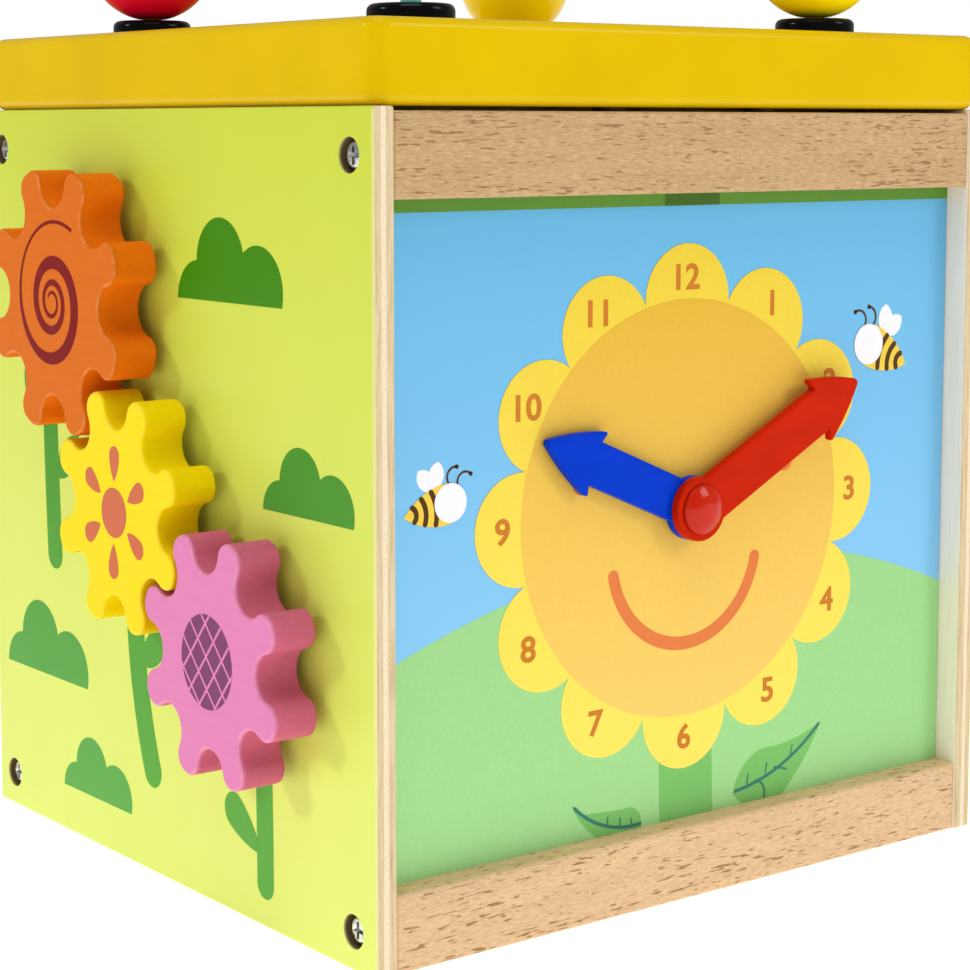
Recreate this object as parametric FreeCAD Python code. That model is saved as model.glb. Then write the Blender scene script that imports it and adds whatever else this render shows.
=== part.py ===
import FreeCAD, Part
import math
import os

# Activity cube. Millimetres, +Z up. The origin is the centre of the underside.
# The clock is on the front (-Y), the gears are on the left panel (-X), the sliders
# are on the right panel (+X), the turning tiles are at the back (+Y) and the wires
# stand on the lid.

# Case
CASE_WIDTH = 200.0
CASE_DEPTH = 189.0
PANEL_HEIGHT = 197.0
PANEL_THICKNESS = 6.0
PANEL_ARRIS = 0.6
RAIL_DEPTH = 17.0
RAIL_SETBACK = 0.4
RAIL_ARRIS = 1.0
TOP_RAIL_HEIGHT = 19.6
BOTTOM_RAIL_HEIGHT = 18.6
LID_THICKNESS = 19.6
LID_INSET = 1.0
LID_GAP = 1.0
LID_CORNER_RADIUS = 5.0
LID_EDGE_RADIUS = 2.5
DOWEL_RADIUS = 4.0
DOWEL_DEPTH = 10.0
DOWEL_HALF_SPAN = 25.0
FIT = 0.05

# Boards
BOARD_THICKNESS = 4.0
BOARD_TONGUE = 4.0
BOARD_SIDE_CLEARANCE = 0.2
GROOVE_CLEARANCE = 0.1
CLOCK_RECESS = 7.2
BASE_THICKNESS = 4.0
BASE_LAP = 5.0
BACK_GROOVE_DEPTH = 2.0

# Panel screws
SCREW_INSET = 9.0
SCREW_HEAD_RADIUS = 3.5
SCREW_HEAD_HEIGHT = 2.0
SCREW_CROWN_RADIUS = 0.9
SCREW_SHANK_RADIUS = 1.7
SCREW_LENGTH = 26.0
SCREW_SINK = 2.2
SCREW_SLOT_WIDTH = 0.9
SCREW_SLOT_LENGTH = 4.2
SCREW_SLOT_DEPTH = 1.2
COUNTERBORE_RADIUS = 4.1
PILOT_EXTRA = 1.0

# Gears. The first stands off the middle of the left panel, and each of the others
# stands off the gear before it, in a direction measured from straight down towards
# the front, with a clearance between its tips and the roots it meets.
TEETH = 8
GEAR_THICKNESS = 12.0
GEAR_STANDOFF = 3.0
GEAR_EDGE_RADIUS = 1.2
TOOTH_CORNER_RADIUS = 3.2
NOTCH_FLARE_DEG = 14.0
FIRST_GEAR_Y = 28.1
FIRST_GEAR_RISE = 49.2
GEARS = {
    "orange": {"tip": 35.2, "root": 24.2, "notch": 6.6, "turn_deg": 1.5},
    "yellow": {"tip": 31.0, "root": 21.0, "notch": 5.8, "turn_deg": 2.5},
    "pink": {"tip": 31.0, "root": 21.0, "notch": 5.8, "turn_deg": -1.2},
}
GEAR_STEPS = {"yellow": ("orange", 31.6, 3.2), "pink": ("yellow", 55.7, 1.0)}
GEAR_AXLE_RADIUS = 4.0
GEAR_SOCKET_DEPTH = 8.0
GEAR_SPACER_RADIUS = 9.0
GEAR_COLLAR_RADIUS = 7.5
GEAR_COLLAR_THICKNESS = 5.0

# Clearances between moving pieces
RUN_GAP = 0.3
HAND_GAP = 0.15
LOOSE_GAP = 0.35

# Clock
CLOCK_AXIS_RISE = 0.7
HAND_THICKNESS = 2.2
HAND_HUB_RADIUS = 8.1
HAND_CORNER_RADIUS = 1.2
HAND_EDGE_RADIUS = 0.5
HAND_HEAD_BULGE = 0.8
HAND_BARB_SWEEP = 1.0
HANDS = {
    "hour": {"length": 52.0, "shaft": 11.0, "head": 17.0, "head_length": 16.8, "angle": 156.7},
    "minute": {"length": 62.4, "shaft": 12.3, "head": 19.0, "head_length": 15.3, "angle": 27.6},
}
CLOCK_WASHER_THICKNESS = 1.0
CLOCK_WASHER_RADIUS = 7.0
CLOCK_PIN_RADIUS = 2.5
CLOCK_BUTTON_RADIUS = 6.2
CLOCK_BUTTON_HEIGHT = 2.2
CLOCK_CROWN_RADIUS = 2.0
CLOCK_PIN_END = 1.0
CLOCK_NUT_RADIUS = 7.0
CLOCK_NUT_THICKNESS = 2.0

# Bead maze
WIRE_RADIUS = 2.4
WIRE_SOCKET_DEPTH = 14.0
GROMMET_RADIUS = 8.2
GROMMET_HEIGHT = 3.7
GROMMET_SHOULDER = 1.7
TEAL_START_INSET = (22.5, 17.0)
TEAL_END_INSET = (25.0, 17.0)
ORANGE_START_INSET = (20.5, 55.0)
ORANGE_END_INSET = (46.7, 16.0)
TEAL_LEG = 78.0
TEAL_HUMP_RADIUS = 30.0
ORANGE_LEG = 105.0
ORANGE_CORNER_RADIUS = 40.0
BIG_BEAD_RADIUS = 17.0
TOP_BEAD_RADIUS = 14.0
TOP_BEAD_OFFSET = 22.0
VALLEY_BEAD_RADIUS = 12.0

# Sliders on the right panel: rise above its middle, and the knob's place as a share
# of its travel
SLOT_END_MARGIN = 14.0
SLOT_WIDTH = 8.8
SLIDERS = {"low": (-46.0, -0.5), "middle": (0.0, 0.8), "high": (46.0, 0.1)}
KNOB_RADIUS = 14.0
KNOB_THICKNESS = 14.0
KNOB_EDGE_RADIUS = 4.5
KNOB_STEM_RADIUS = 4.0
KNOB_SOCKET_DEPTH = 8.0
KNOB_DISC_RADIUS = 10.0
KNOB_DISC_THICKNESS = 4.0

# Turning tiles in the back recess
TILE_GAP = 5.0
TILE_HEIGHT = 54.0
TILE_THICKNESS = 12.0
TILE_EDGE_RADIUS = 1.5
TILE_COLUMNS = 3
TILE_ROD_RADIUS = 3.0
TILE_ROD_SOCKET = 4.0
TILE_SPACER_RADIUS = 6.0
TILE_ROWS = {"lower": 0.25, "upper": 0.75}
BACK_BOARD_CLEARANCE = 2.0

# Places that follow from the sizes above
PANEL_OUT = CASE_WIDTH / 2
PANEL_IN = PANEL_OUT - PANEL_THICKNESS
FRONT = -CASE_DEPTH / 2
RAIL_TOP = PANEL_HEIGHT - LID_GAP
TOP_RAIL_BOTTOM = RAIL_TOP - TOP_RAIL_HEIGHT
LID_TOP = PANEL_HEIGHT + LID_THICKNESS
BOARD_FRONT = FRONT + CLOCK_RECESS
BOARD_BACK = BOARD_FRONT + BOARD_THICKNESS
TILE_AXIS_Y = -FRONT - RAIL_SETBACK - RAIL_DEPTH / 2
TILE_SWEEP = math.hypot(TILE_HEIGHT, TILE_THICKNESS) / 2
BACK_BOARD_FACE = TILE_AXIS_Y - TILE_SWEEP - BACK_BOARD_CLEARANCE
TILE_WIDTH = (2 * PANEL_IN - (TILE_COLUMNS + 1) * TILE_GAP) / TILE_COLUMNS
OPENING_HEIGHT = TOP_RAIL_BOTTOM - BOTTOM_RAIL_HEIGHT
CLOCK_AXIS_Z = BOTTOM_RAIL_HEIGHT + OPENING_HEIGHT / 2 + CLOCK_AXIS_RISE
SLOT_LOW_Y = BOARD_BACK + SLOT_END_MARGIN
SLOT_HIGH_Y = BACK_BOARD_FACE - BOARD_THICKNESS - SLOT_END_MARGIN
GEAR_BACK = -PANEL_OUT - GEAR_STANDOFF
BORE_RADIUS = WIRE_RADIUS + LOOSE_GAP
LID_HALF_X = PANEL_OUT - LID_INSET
LID_HALF_Y = -FRONT - LID_INSET
TEAL_START = (-LID_HALF_X + TEAL_START_INSET[0], -LID_HALF_Y + TEAL_START_INSET[1])
TEAL_END = (LID_HALF_X - TEAL_END_INSET[0], LID_HALF_Y - TEAL_END_INSET[1])
ORANGE_START = (-LID_HALF_X + ORANGE_START_INSET[0], LID_HALF_Y - ORANGE_START_INSET[1])
ORANGE_END = (LID_HALF_X - ORANGE_END_INSET[0], -LID_HALF_Y + ORANGE_END_INSET[1])


def point(x, y, z):
    return FreeCAD.Vector(x, y, z)


def box(low, high):
    """Box between two corners."""
    size = [b - a for a, b in zip(low, high)]
    return Part.makeBox(size[0], size[1], size[2], point(*low))


def rod(start, end, radius):
    """Cylinder from one point to another."""
    line = point(*end) - point(*start)
    return Part.makeCylinder(radius, line.Length, point(*start), line)


def ring(start, end, radius, bore):
    """Cylinder with a hole through it."""
    return rod(start, end, radius).cut(rod(start, end, bore))


def save(name, *solids):
    """Write one node, with its solids side by side."""
    shape = solids[0] if len(solids) == 1 else Part.makeCompound(list(solids))
    shape.exportStep("parts/" + name + ".step")


def screw_places():
    """Y and Z of the four screws of a side panel, on the rail ends."""
    near = SCREW_INSET + FRONT
    low = BOTTOM_RAIL_HEIGHT / 2
    high = RAIL_TOP - TOP_RAIL_HEIGHT / 2
    return [(y, z) for y in (near, -near) for z in (low, high)]


def cut_screws(shape, side):
    """Counterbores, panel holes and pilot holes on one side, -1 left or +1 right."""
    for y, z in screw_places():
        face = (side * PANEL_OUT, y, z)
        seat = (side * (PANEL_OUT - SCREW_SINK - SCREW_HEAD_HEIGHT), y, z)
        deep = (side * (PANEL_OUT - SCREW_SINK - SCREW_LENGTH - PILOT_EXTRA), y, z)
        shape = shape.cut(rod(seat, face, COUNTERBORE_RADIUS))
        shape = shape.cut(rod(deep, face, SCREW_SHANK_RADIUS + FIT))
    return shape


def screw(side, y, z):
    """Pan-head screw with a cross recess, its head below the panel's face."""
    seat = side * (PANEL_OUT - SCREW_SINK - SCREW_HEAD_HEIGHT)
    top = side * (PANEL_OUT - SCREW_SINK)
    head = rod((seat, y, z), (top, y, z), SCREW_HEAD_RADIUS)
    crown = [e for e in head.Edges if e.BoundBox.XLength < 0.01 and abs(e.BoundBox.XMin - top) < 0.01]
    head = head.makeFillet(SCREW_CROWN_RADIUS, crown)
    point_x = top - side * SCREW_LENGTH
    shank = rod((point_x, y, z), (seat, y, z), SCREW_SHANK_RADIUS)
    body = head.fuse(shank)
    half = SCREW_SLOT_LENGTH / 2
    thin = SCREW_SLOT_WIDTH / 2
    x_low, x_high = sorted((top, top - side * SCREW_SLOT_DEPTH))
    for dy, dz in ((half, thin), (thin, half)):
        body = body.cut(box((x_low, y - dy, z - dz), (x_high, y + dy, z + dz)))
    return body


def tile_rows():
    """Heights of the tile rods, by name."""
    return {name: BOTTOM_RAIL_HEIGHT + share * OPENING_HEIGHT for name, share in TILE_ROWS.items()}


def gear_centre(name):
    """Y and Z of a gear's axis, followed down the train from the first gear."""
    if name not in GEAR_STEPS:
        return FIRST_GEAR_Y, PANEL_HEIGHT / 2 + FIRST_GEAR_RISE
    before, direction_deg, clearance = GEAR_STEPS[name]
    y, z = gear_centre(before)
    one = GEARS[before]
    other = GEARS[name]
    distance = max(one["tip"] + other["root"], one["root"] + other["tip"]) + clearance
    direction = math.radians(direction_deg)
    return y - distance * math.sin(direction), z - distance * math.cos(direction)


def slider_place(name):
    """Y and Z of a slider at rest."""
    rise, share = SLIDERS[name]
    middle = (SLOT_LOW_Y + SLOT_HIGH_Y) / 2
    travel = (SLOT_HIGH_Y - SLOT_LOW_Y) / 2
    return middle + share * travel, PANEL_HEIGHT / 2 + rise


def side_panel(side):
    """Plain side panel with softened edges, screw holes, tile-rod sockets and a back groove."""
    x_low, x_high = sorted((side * PANEL_OUT, side * PANEL_IN))
    panel = box((x_low, FRONT, 0), (x_high, -FRONT, PANEL_HEIGHT))
    panel = panel.makeFillet(PANEL_ARRIS, panel.Edges)
    panel = cut_screws(panel, side)
    groove_end = side * (PANEL_IN + BACK_GROOVE_DEPTH + GROOVE_CLEARANCE)
    x_low, x_high = sorted((groove_end, side * PANEL_IN))
    y_low = BACK_BOARD_FACE - BOARD_THICKNESS - GROOVE_CLEARANCE
    y_high = BACK_BOARD_FACE + GROOVE_CLEARANCE
    panel = panel.cut(box((x_low, y_low, 0), (x_high, y_high, PANEL_HEIGHT)))
    for z in tile_rows().values():
        deep = (side * (PANEL_IN + TILE_ROD_SOCKET), TILE_AXIS_Y, z)
        mouth = (side * PANEL_IN, TILE_AXIS_Y, z)
        panel = panel.cut(rod(deep, mouth, TILE_ROD_RADIUS + FIT))
    return panel


def left_panel():
    """Side panel with a running hole for each gear axle."""
    panel = side_panel(-1)
    for y, z in map(gear_centre, GEARS):
        panel = panel.cut(rod((-PANEL_OUT, y, z), (-PANEL_IN, y, z), GEAR_AXLE_RADIUS + FIT))
    return panel


def right_panel():
    """Side panel with a round-ended slot for each slider."""
    panel = side_panel(1)
    half = SLOT_WIDTH / 2
    for name in SLIDERS:
        z = slider_place(name)[1]
        panel = panel.cut(box((PANEL_IN, SLOT_LOW_Y, z - half), (PANEL_OUT, SLOT_HIGH_Y, z + half)))
        for y in (SLOT_LOW_Y, SLOT_HIGH_Y):
            panel = panel.cut(rod((PANEL_IN, y, z), (PANEL_OUT, y, z), half))
    return panel


def rail(face, bottom, height):
    """Rail between the panels at the front (-1) or the back (+1)."""
    outer = face * (-FRONT - RAIL_SETBACK)
    y_low, y_high = sorted((outer, outer - face * RAIL_DEPTH))
    bar = box((-PANEL_IN, y_low, bottom), (PANEL_IN, y_high, bottom + height))
    bar = bar.makeFillet(RAIL_ARRIS, [e for e in bar.Edges if abs(e.CenterOfMass.y - outer) < 0.01])
    bar = cut_screws(bar, -1)
    return cut_screws(bar, 1)


def board_groove(bar):
    """Groove of a front rail that the clock board's tongue stands in."""
    low = (-PANEL_IN, BOARD_FRONT, BOTTOM_RAIL_HEIGHT - BOARD_TONGUE - GROOVE_CLEARANCE)
    high = (PANEL_IN, BOARD_BACK + GROOVE_CLEARANCE, TOP_RAIL_BOTTOM + BOARD_TONGUE + GROOVE_CLEARANCE)
    return bar.cut(box(low, high))


def base_rebate(bar):
    """Rebate of a bottom rail that the base board lies in."""
    lap = -FRONT - RAIL_SETBACK - RAIL_DEPTH + BASE_LAP + GROOVE_CLEARANCE
    return bar.cut(box((-PANEL_IN, -lap, 0), (PANEL_IN, lap, BASE_THICKNESS)))


def dowel_places():
    """X and Y of the dowels between the top rails and the lid."""
    y = -FRONT - RAIL_SETBACK - RAIL_DEPTH / 2
    return [(x, side * y) for x in (-DOWEL_HALF_SPAN, DOWEL_HALF_SPAN) for side in (-1, 1)]


def dowel(x, y, clearance=0.0):
    """Dowel, or with a clearance the hole for it."""
    low = RAIL_TOP - DOWEL_DEPTH - clearance
    high = PANEL_HEIGHT + DOWEL_DEPTH + clearance
    return rod((x, y, low), (x, y, high), DOWEL_RADIUS + clearance)


def top_rail(face):
    bar = rail(face, TOP_RAIL_BOTTOM, TOP_RAIL_HEIGHT)
    for x, y in dowel_places():
        bar = bar.cut(dowel(x, y, FIT))
    return board_groove(bar) if face < 0 else bar


def bottom_rail(face):
    bar = base_rebate(rail(face, 0, BOTTOM_RAIL_HEIGHT))
    return board_groove(bar) if face < 0 else bar


def clock_board():
    """Board with a tongue in each front rail and the clock pin's hole."""
    side = PANEL_IN - BOARD_SIDE_CLEARANCE
    low = (-side, BOARD_FRONT, BOTTOM_RAIL_HEIGHT - BOARD_TONGUE)
    high = (side, BOARD_BACK, TOP_RAIL_BOTTOM + BOARD_TONGUE)
    hole = rod(on_clock_axis(BOARD_FRONT), on_clock_axis(BOARD_BACK), CLOCK_PIN_RADIUS + FIT)
    return box(low, high).cut(hole)


def back_board():
    """Inner board behind the tiles, held in the panels' grooves."""
    side = PANEL_IN + BACK_GROOVE_DEPTH
    low = (-side, BACK_BOARD_FACE - BOARD_THICKNESS, BASE_THICKNESS)
    return box(low, (side, BACK_BOARD_FACE, PANEL_HEIGHT - LID_GAP))


def base_board():
    """Board flush with the underside, in the bottom rails' rebates."""
    lap = -FRONT - RAIL_SETBACK - RAIL_DEPTH + BASE_LAP
    side = PANEL_IN - BOARD_SIDE_CLEARANCE
    return box((-side, -lap, 0), (side, lap, BASE_THICKNESS))


def wire_feet():
    return [TEAL_START, TEAL_END, ORANGE_START, ORANGE_END]


def lid():
    """Thick lid with rounded corners and edges, over the panels."""
    slab = box((-LID_HALF_X, -LID_HALF_Y, PANEL_HEIGHT), (LID_HALF_X, LID_HALF_Y, LID_TOP))
    upright = [e for e in slab.Edges if abs(e.Vertexes[0].Z - e.Vertexes[-1].Z) > 1]
    slab = slab.makeFillet(LID_CORNER_RADIUS, upright)
    around = [e for e in slab.Edges if abs(e.BoundBox.ZMax - e.BoundBox.ZMin) < 0.01]
    slab = slab.makeFillet(LID_EDGE_RADIUS, around)
    for x, y in dowel_places():
        slab = slab.cut(dowel(x, y, FIT))
    for x, y in wire_feet():
        slab = slab.cut(rod((x, y, LID_TOP - WIRE_SOCKET_DEPTH), (x, y, LID_TOP), WIRE_RADIUS + FIT))
    return slab


def turned(uv, angle):
    """Turn a point of the plane about the origin."""
    c = math.cos(angle)
    s = math.sin(angle)
    return (uv[0] * c - uv[1] * s, uv[0] * s + uv[1] * c)


def notch_points(tip, root, notch):
    """Half a notch on the +u axis: bottom, flank start, flank end, corner middle, crest start."""
    flare = math.radians(NOTCH_FLARE_DEG)
    normal = (-math.sin(flare), math.cos(flare))
    along = (math.cos(flare), math.sin(flare))
    flank = (root + notch + notch * normal[0], notch * normal[1])
    inner = (flank[0] + TOOTH_CORNER_RADIUS * normal[0], flank[1] + TOOTH_CORNER_RADIUS * normal[1])
    reach = tip - TOOTH_CORNER_RADIUS
    dot = inner[0] * along[0] + inner[1] * along[1]
    run = -dot + math.sqrt(dot * dot - inner[0] ** 2 - inner[1] ** 2 + reach * reach)
    centre = (inner[0] + run * along[0], inner[1] + run * along[1])
    flank_end = (flank[0] + run * along[0], flank[1] + run * along[1])
    crest = (centre[0] * tip / reach, centre[1] * tip / reach)
    chord = ((flank_end[0] + crest[0]) / 2 - centre[0], (flank_end[1] + crest[1]) / 2 - centre[1])
    scale = TOOTH_CORNER_RADIUS / math.hypot(*chord)
    corner = (centre[0] + chord[0] * scale, centre[1] + chord[1] * scale)
    return (root, 0.0), flank, flank_end, corner, crest


def mirrored(uv):
    """Mirror a point of the plane in the +u axis."""
    return (uv[0], -uv[1])


def path_edges(paths, place):
    """Lines and arcs from lists of two or three plane points, put in space by a function."""
    edges = []
    for path in paths:
        points = [place(uv) for uv in path]
        curve = Part.LineSegment(*points) if len(points) == 2 else Part.Arc(*points)
        edges.append(curve.toShape())
    return edges


def gear_pitch(tip, root, notch):
    """Lines and arcs of one pitch: a notch, its two tooth corners and a crest."""
    bottom, flank, flank_end, corner, crest = notch_points(tip, root, notch)
    pitch = 2 * math.pi / TEETH
    return [
        [mirrored(crest), mirrored(corner), mirrored(flank_end)],
        [mirrored(flank_end), mirrored(flank)],
        [mirrored(flank), bottom, flank],
        [flank, flank_end],
        [flank_end, corner, crest],
        [crest, turned((tip, 0.0), pitch / 2), turned(mirrored(crest), pitch)],
    ]


def gear(name):
    """Toothed wheel with softened edges and a blind socket for its axle."""
    y, z = gear_centre(name)
    size = GEARS[name]
    edges = []
    for k in range(TEETH):
        angle = math.pi / 2 + math.radians(size["turn_deg"]) + 2 * math.pi * k / TEETH

        def place(uv):
            u, v = turned(uv, angle)
            return point(GEAR_BACK, y + u, z + v)

        edges += path_edges(gear_pitch(size["tip"], size["root"], size["notch"]), place)
    wheel = Part.Face(Part.Wire(edges)).extrude(point(-GEAR_THICKNESS, 0, 0))
    rims = [e for e in wheel.Edges if e.BoundBox.XLength < 0.01]
    wheel = wheel.makeFillet(GEAR_EDGE_RADIUS, rims)
    socket = rod((GEAR_BACK - GEAR_SOCKET_DEPTH, y, z), (GEAR_BACK, y, z), GEAR_AXLE_RADIUS + FIT)
    return wheel.cut(socket)


def gear_axle(y, z):
    """Axle glued in the gear, running in the panel, with its end flush with the collar."""
    outer = GEAR_BACK - GEAR_SOCKET_DEPTH
    inner = -PANEL_IN + RUN_GAP + GEAR_COLLAR_THICKNESS
    return rod((outer, y, z), (inner, y, z), GEAR_AXLE_RADIUS)


def gear_spacer(y, z):
    """Ring on the panel that stands the gear off."""
    start = (-PANEL_OUT, y, z)
    return ring(start, (GEAR_BACK + RUN_GAP, y, z), GEAR_SPACER_RADIUS, GEAR_AXLE_RADIUS + RUN_GAP)


def gear_collar(y, z):
    """Collar glued on the axle inside the case."""
    start = (-PANEL_IN + RUN_GAP, y, z)
    end = (-PANEL_IN + RUN_GAP + GEAR_COLLAR_THICKNESS, y, z)
    return ring(start, end, GEAR_COLLAR_RADIUS, GEAR_AXLE_RADIUS + FIT)


def hand(front, length, shaft, head, head_length, angle):
    """Arrow-shaped clock hand with a round hub, turned to its angle from +X."""
    neck = length - head_length
    root = (math.sqrt(HAND_HUB_RADIUS ** 2 - shaft ** 2 / 4), shaft / 2)
    throat = (neck, shaft / 2)
    barb = (neck - HAND_BARB_SWEEP, head / 2)
    tip = (length, 0.0)
    bulge = ((barb[0] + tip[0]) / 2, head / 4 + HAND_HEAD_BULGE)
    paths = [
        [mirrored(root), (-HAND_HUB_RADIUS, 0.0), root],
        [root, throat],
        [throat, barb],
        [barb, bulge, tip],
        [tip, mirrored(bulge), mirrored(barb)],
        [mirrored(barb), mirrored(throat)],
        [mirrored(throat), mirrored(root)],
    ]

    def place(uv):
        u, v = turned(uv, math.radians(angle))
        return point(u, front, CLOCK_AXIS_Z + v)

    plate = Part.Face(Part.Wire(path_edges(paths, place))).extrude(point(0, HAND_THICKNESS, 0))
    sharp = [math.hypot(*barb), length]
    plate = plate.makeFillet(HAND_CORNER_RADIUS, [e for e in plate.Edges if stands_at(e, sharp)])
    rim = [e for e in plate.Edges if e.BoundBox.YLength < 0.01 and abs(e.BoundBox.YMin - front) < 0.01]
    plate = plate.makeFillet(HAND_EDGE_RADIUS, rim)
    bore = rod(on_clock_axis(front), on_clock_axis(front + HAND_THICKNESS), CLOCK_PIN_RADIUS + FIT)
    return plate.cut(bore)


def stands_at(edge, reaches):
    """True on a straight edge along Y at one of these distances from the clock's axis."""
    reach = math.hypot(edge.CenterOfMass.x, edge.CenterOfMass.z - CLOCK_AXIS_Z)
    along_y = edge.BoundBox.YLength > HAND_THICKNESS / 2 and edge.BoundBox.XLength < 0.01
    return along_y and min(abs(reach - r) for r in reaches) < 0.01


def hand_fronts():
    """Y of the front face of the hour hand, the minute hand and the button's underside."""
    hour = BOARD_FRONT - CLOCK_WASHER_THICKNESS - HAND_GAP - HAND_THICKNESS
    minute = hour - HAND_GAP - HAND_THICKNESS
    return hour, minute, minute - HAND_GAP


def on_clock_axis(y):
    """Point of the clock's axis."""
    return (0, y, CLOCK_AXIS_Z)


def clock_pin():
    """Domed button on a pin that passes through the hands, the washer and the board."""
    under = hand_fronts()[2]
    face = under - CLOCK_BUTTON_HEIGHT
    end = BOARD_BACK + CLOCK_NUT_THICKNESS + CLOCK_PIN_END
    button = rod(on_clock_axis(face), on_clock_axis(under), CLOCK_BUTTON_RADIUS)
    crown = [e for e in button.Edges if e.BoundBox.YMax < face + 0.01]
    button = button.makeFillet(CLOCK_CROWN_RADIUS, crown)
    return button.fuse(rod(on_clock_axis(under), on_clock_axis(end), CLOCK_PIN_RADIUS))


def clock_washer():
    """Washer on the board, behind the hour hand."""
    start = on_clock_axis(BOARD_FRONT - CLOCK_WASHER_THICKNESS)
    return ring(start, on_clock_axis(BOARD_FRONT), CLOCK_WASHER_RADIUS, CLOCK_PIN_RADIUS + FIT)


def clock_nut():
    """Push nut on the pin, behind the board."""
    end = on_clock_axis(BOARD_BACK + CLOCK_NUT_THICKNESS)
    return ring(on_clock_axis(BOARD_BACK), end, CLOCK_NUT_RADIUS, CLOCK_PIN_RADIUS + FIT)


def span(start, end):
    """Distance between two wire feet, and the unit vector from one to the other."""
    dx = end[0] - start[0]
    dy = end[1] - start[1]
    length = math.hypot(dx, dy)
    return length, (dx / length, dy / length)


def wire_point(start, unit, s, height):
    """Point of a wire's upright plane: s along the feet, height above the lid."""
    return point(start[0] + unit[0] * s, start[1] + unit[1] * s, LID_TOP + height)


def bent_wire(start, end, paths):
    """Round wire along straight runs and arcs in the upright plane through its feet."""
    unit = span(start, end)[1]
    spine = Part.Wire(path_edges(paths, lambda sh: wire_point(start, unit, *sh)))
    section = Part.Wire(Part.makeCircle(WIRE_RADIUS, spine.Vertexes[0].Point, point(0, 0, 1)))
    return spine.makePipeShell([section], True, False)


def valley_radius():
    """Radius of the teal wire's dip between its two humps."""
    return span(TEAL_START, TEAL_END)[0] / 2 - 2 * TEAL_HUMP_RADIUS


def teal_wire():
    """Two humps with a deep dip between them."""
    length = span(TEAL_START, TEAL_END)[0]
    hump = TEAL_HUMP_RADIUS
    foot = -WIRE_SOCKET_DEPTH
    return bent_wire(TEAL_START, TEAL_END, [
        [(0, foot), (0, TEAL_LEG)],
        [(0, TEAL_LEG), (hump, TEAL_LEG + hump), (2 * hump, TEAL_LEG)],
        [(2 * hump, TEAL_LEG), (length / 2, TEAL_LEG - valley_radius()), (length - 2 * hump, TEAL_LEG)],
        [(length - 2 * hump, TEAL_LEG), (length - hump, TEAL_LEG + hump), (length, TEAL_LEG)],
        [(length, TEAL_LEG), (length, foot)],
    ])


def orange_wire():
    """Tall arch with a level top run."""
    length = span(ORANGE_START, ORANGE_END)[0]
    radius = ORANGE_CORNER_RADIUS
    top = ORANGE_LEG + radius
    slant = radius * (1 - math.sqrt(0.5))
    foot = -WIRE_SOCKET_DEPTH
    return bent_wire(ORANGE_START, ORANGE_END, [
        [(0, foot), (0, ORANGE_LEG)],
        [(0, ORANGE_LEG), (slant, top - slant), (radius, top)],
        [(radius, top), (length - radius, top)],
        [(length - radius, top), (length - slant, top - slant), (length, ORANGE_LEG)],
        [(length, ORANGE_LEG), (length, foot)],
    ])


def grommet(x, y):
    """Domed collar round the foot of a wire."""
    low = (x, y, LID_TOP)
    high = (x, y, LID_TOP + GROMMET_HEIGHT)
    body = rod(low, high, GROMMET_RADIUS)
    rim = [e for e in body.Edges if abs(e.BoundBox.ZMin - high[2]) < 0.01]
    body = body.makeFillet(GROMMET_SHOULDER, rim)
    return body.cut(rod(low, high, WIRE_RADIUS + FIT))


def bead(centre, axis, radius, bore):
    """Ball with a hole along an axis."""
    ball = Part.makeSphere(radius, centre)
    half = point(*axis) * (radius + 1)
    return ball.cut(Part.makeCylinder(bore, 2 * half.Length, centre - half, half))


def standing_bead(foot):
    """Large bead resting on a grommet."""
    centre = bead_rest_height()
    return bead(point(foot[0], foot[1], centre), (0, 0, 1), BIG_BEAD_RADIUS, BORE_RADIUS)


def bead_rest_height():
    """Height of a large bead's middle when its bore rim stands on the grommet."""
    return LID_TOP + GROMMET_HEIGHT + RUN_GAP + math.sqrt(BIG_BEAD_RADIUS ** 2 - BORE_RADIUS ** 2)


def top_bead(offset):
    """Bead on the level run of the orange wire."""
    length, unit = span(ORANGE_START, ORANGE_END)
    height = ORANGE_LEG + ORANGE_CORNER_RADIUS
    centre = wire_point(ORANGE_START, unit, length / 2 + offset, height)
    return bead(centre, (unit[0], unit[1], 0), TOP_BEAD_RADIUS, BORE_RADIUS)


def valley_bead():
    """Small bead at the bottom of the teal wire's dip, its bore wide enough for the bend."""
    length, unit = span(TEAL_START, TEAL_END)
    centre = wire_point(TEAL_START, unit, length / 2, TEAL_LEG - valley_radius())
    bend = valley_radius()
    sag = bend - math.sqrt(bend ** 2 - VALLEY_BEAD_RADIUS ** 2)
    return bead(centre, (unit[0], unit[1], 0), VALLEY_BEAD_RADIUS, BORE_RADIUS + sag)


def knob(y, z):
    """Rounded knob with a socket for its stem."""
    back = PANEL_OUT + RUN_GAP
    body = rod((back, y, z), (back + KNOB_THICKNESS, y, z), KNOB_RADIUS)
    rim = [e for e in body.Edges if e.BoundBox.XMin > back + KNOB_THICKNESS - 0.01]
    body = body.makeFillet(KNOB_EDGE_RADIUS, rim)
    return body.cut(rod((back, y, z), (back + KNOB_SOCKET_DEPTH, y, z), KNOB_STEM_RADIUS + FIT))


def knob_stem(y, z):
    """Stem through the slot, with the disc that holds it behind the panel."""
    outer = PANEL_OUT + RUN_GAP + KNOB_SOCKET_DEPTH
    disc_face = PANEL_IN - RUN_GAP
    disc = rod((disc_face - KNOB_DISC_THICKNESS, y, z), (disc_face, y, z), KNOB_DISC_RADIUS)
    return disc.fuse(rod((disc_face, y, z), (outer, y, z), KNOB_STEM_RADIUS))


def tile_left(column):
    """X of a tile's left side."""
    return -PANEL_IN + TILE_GAP + column * (TILE_WIDTH + TILE_GAP)


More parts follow.
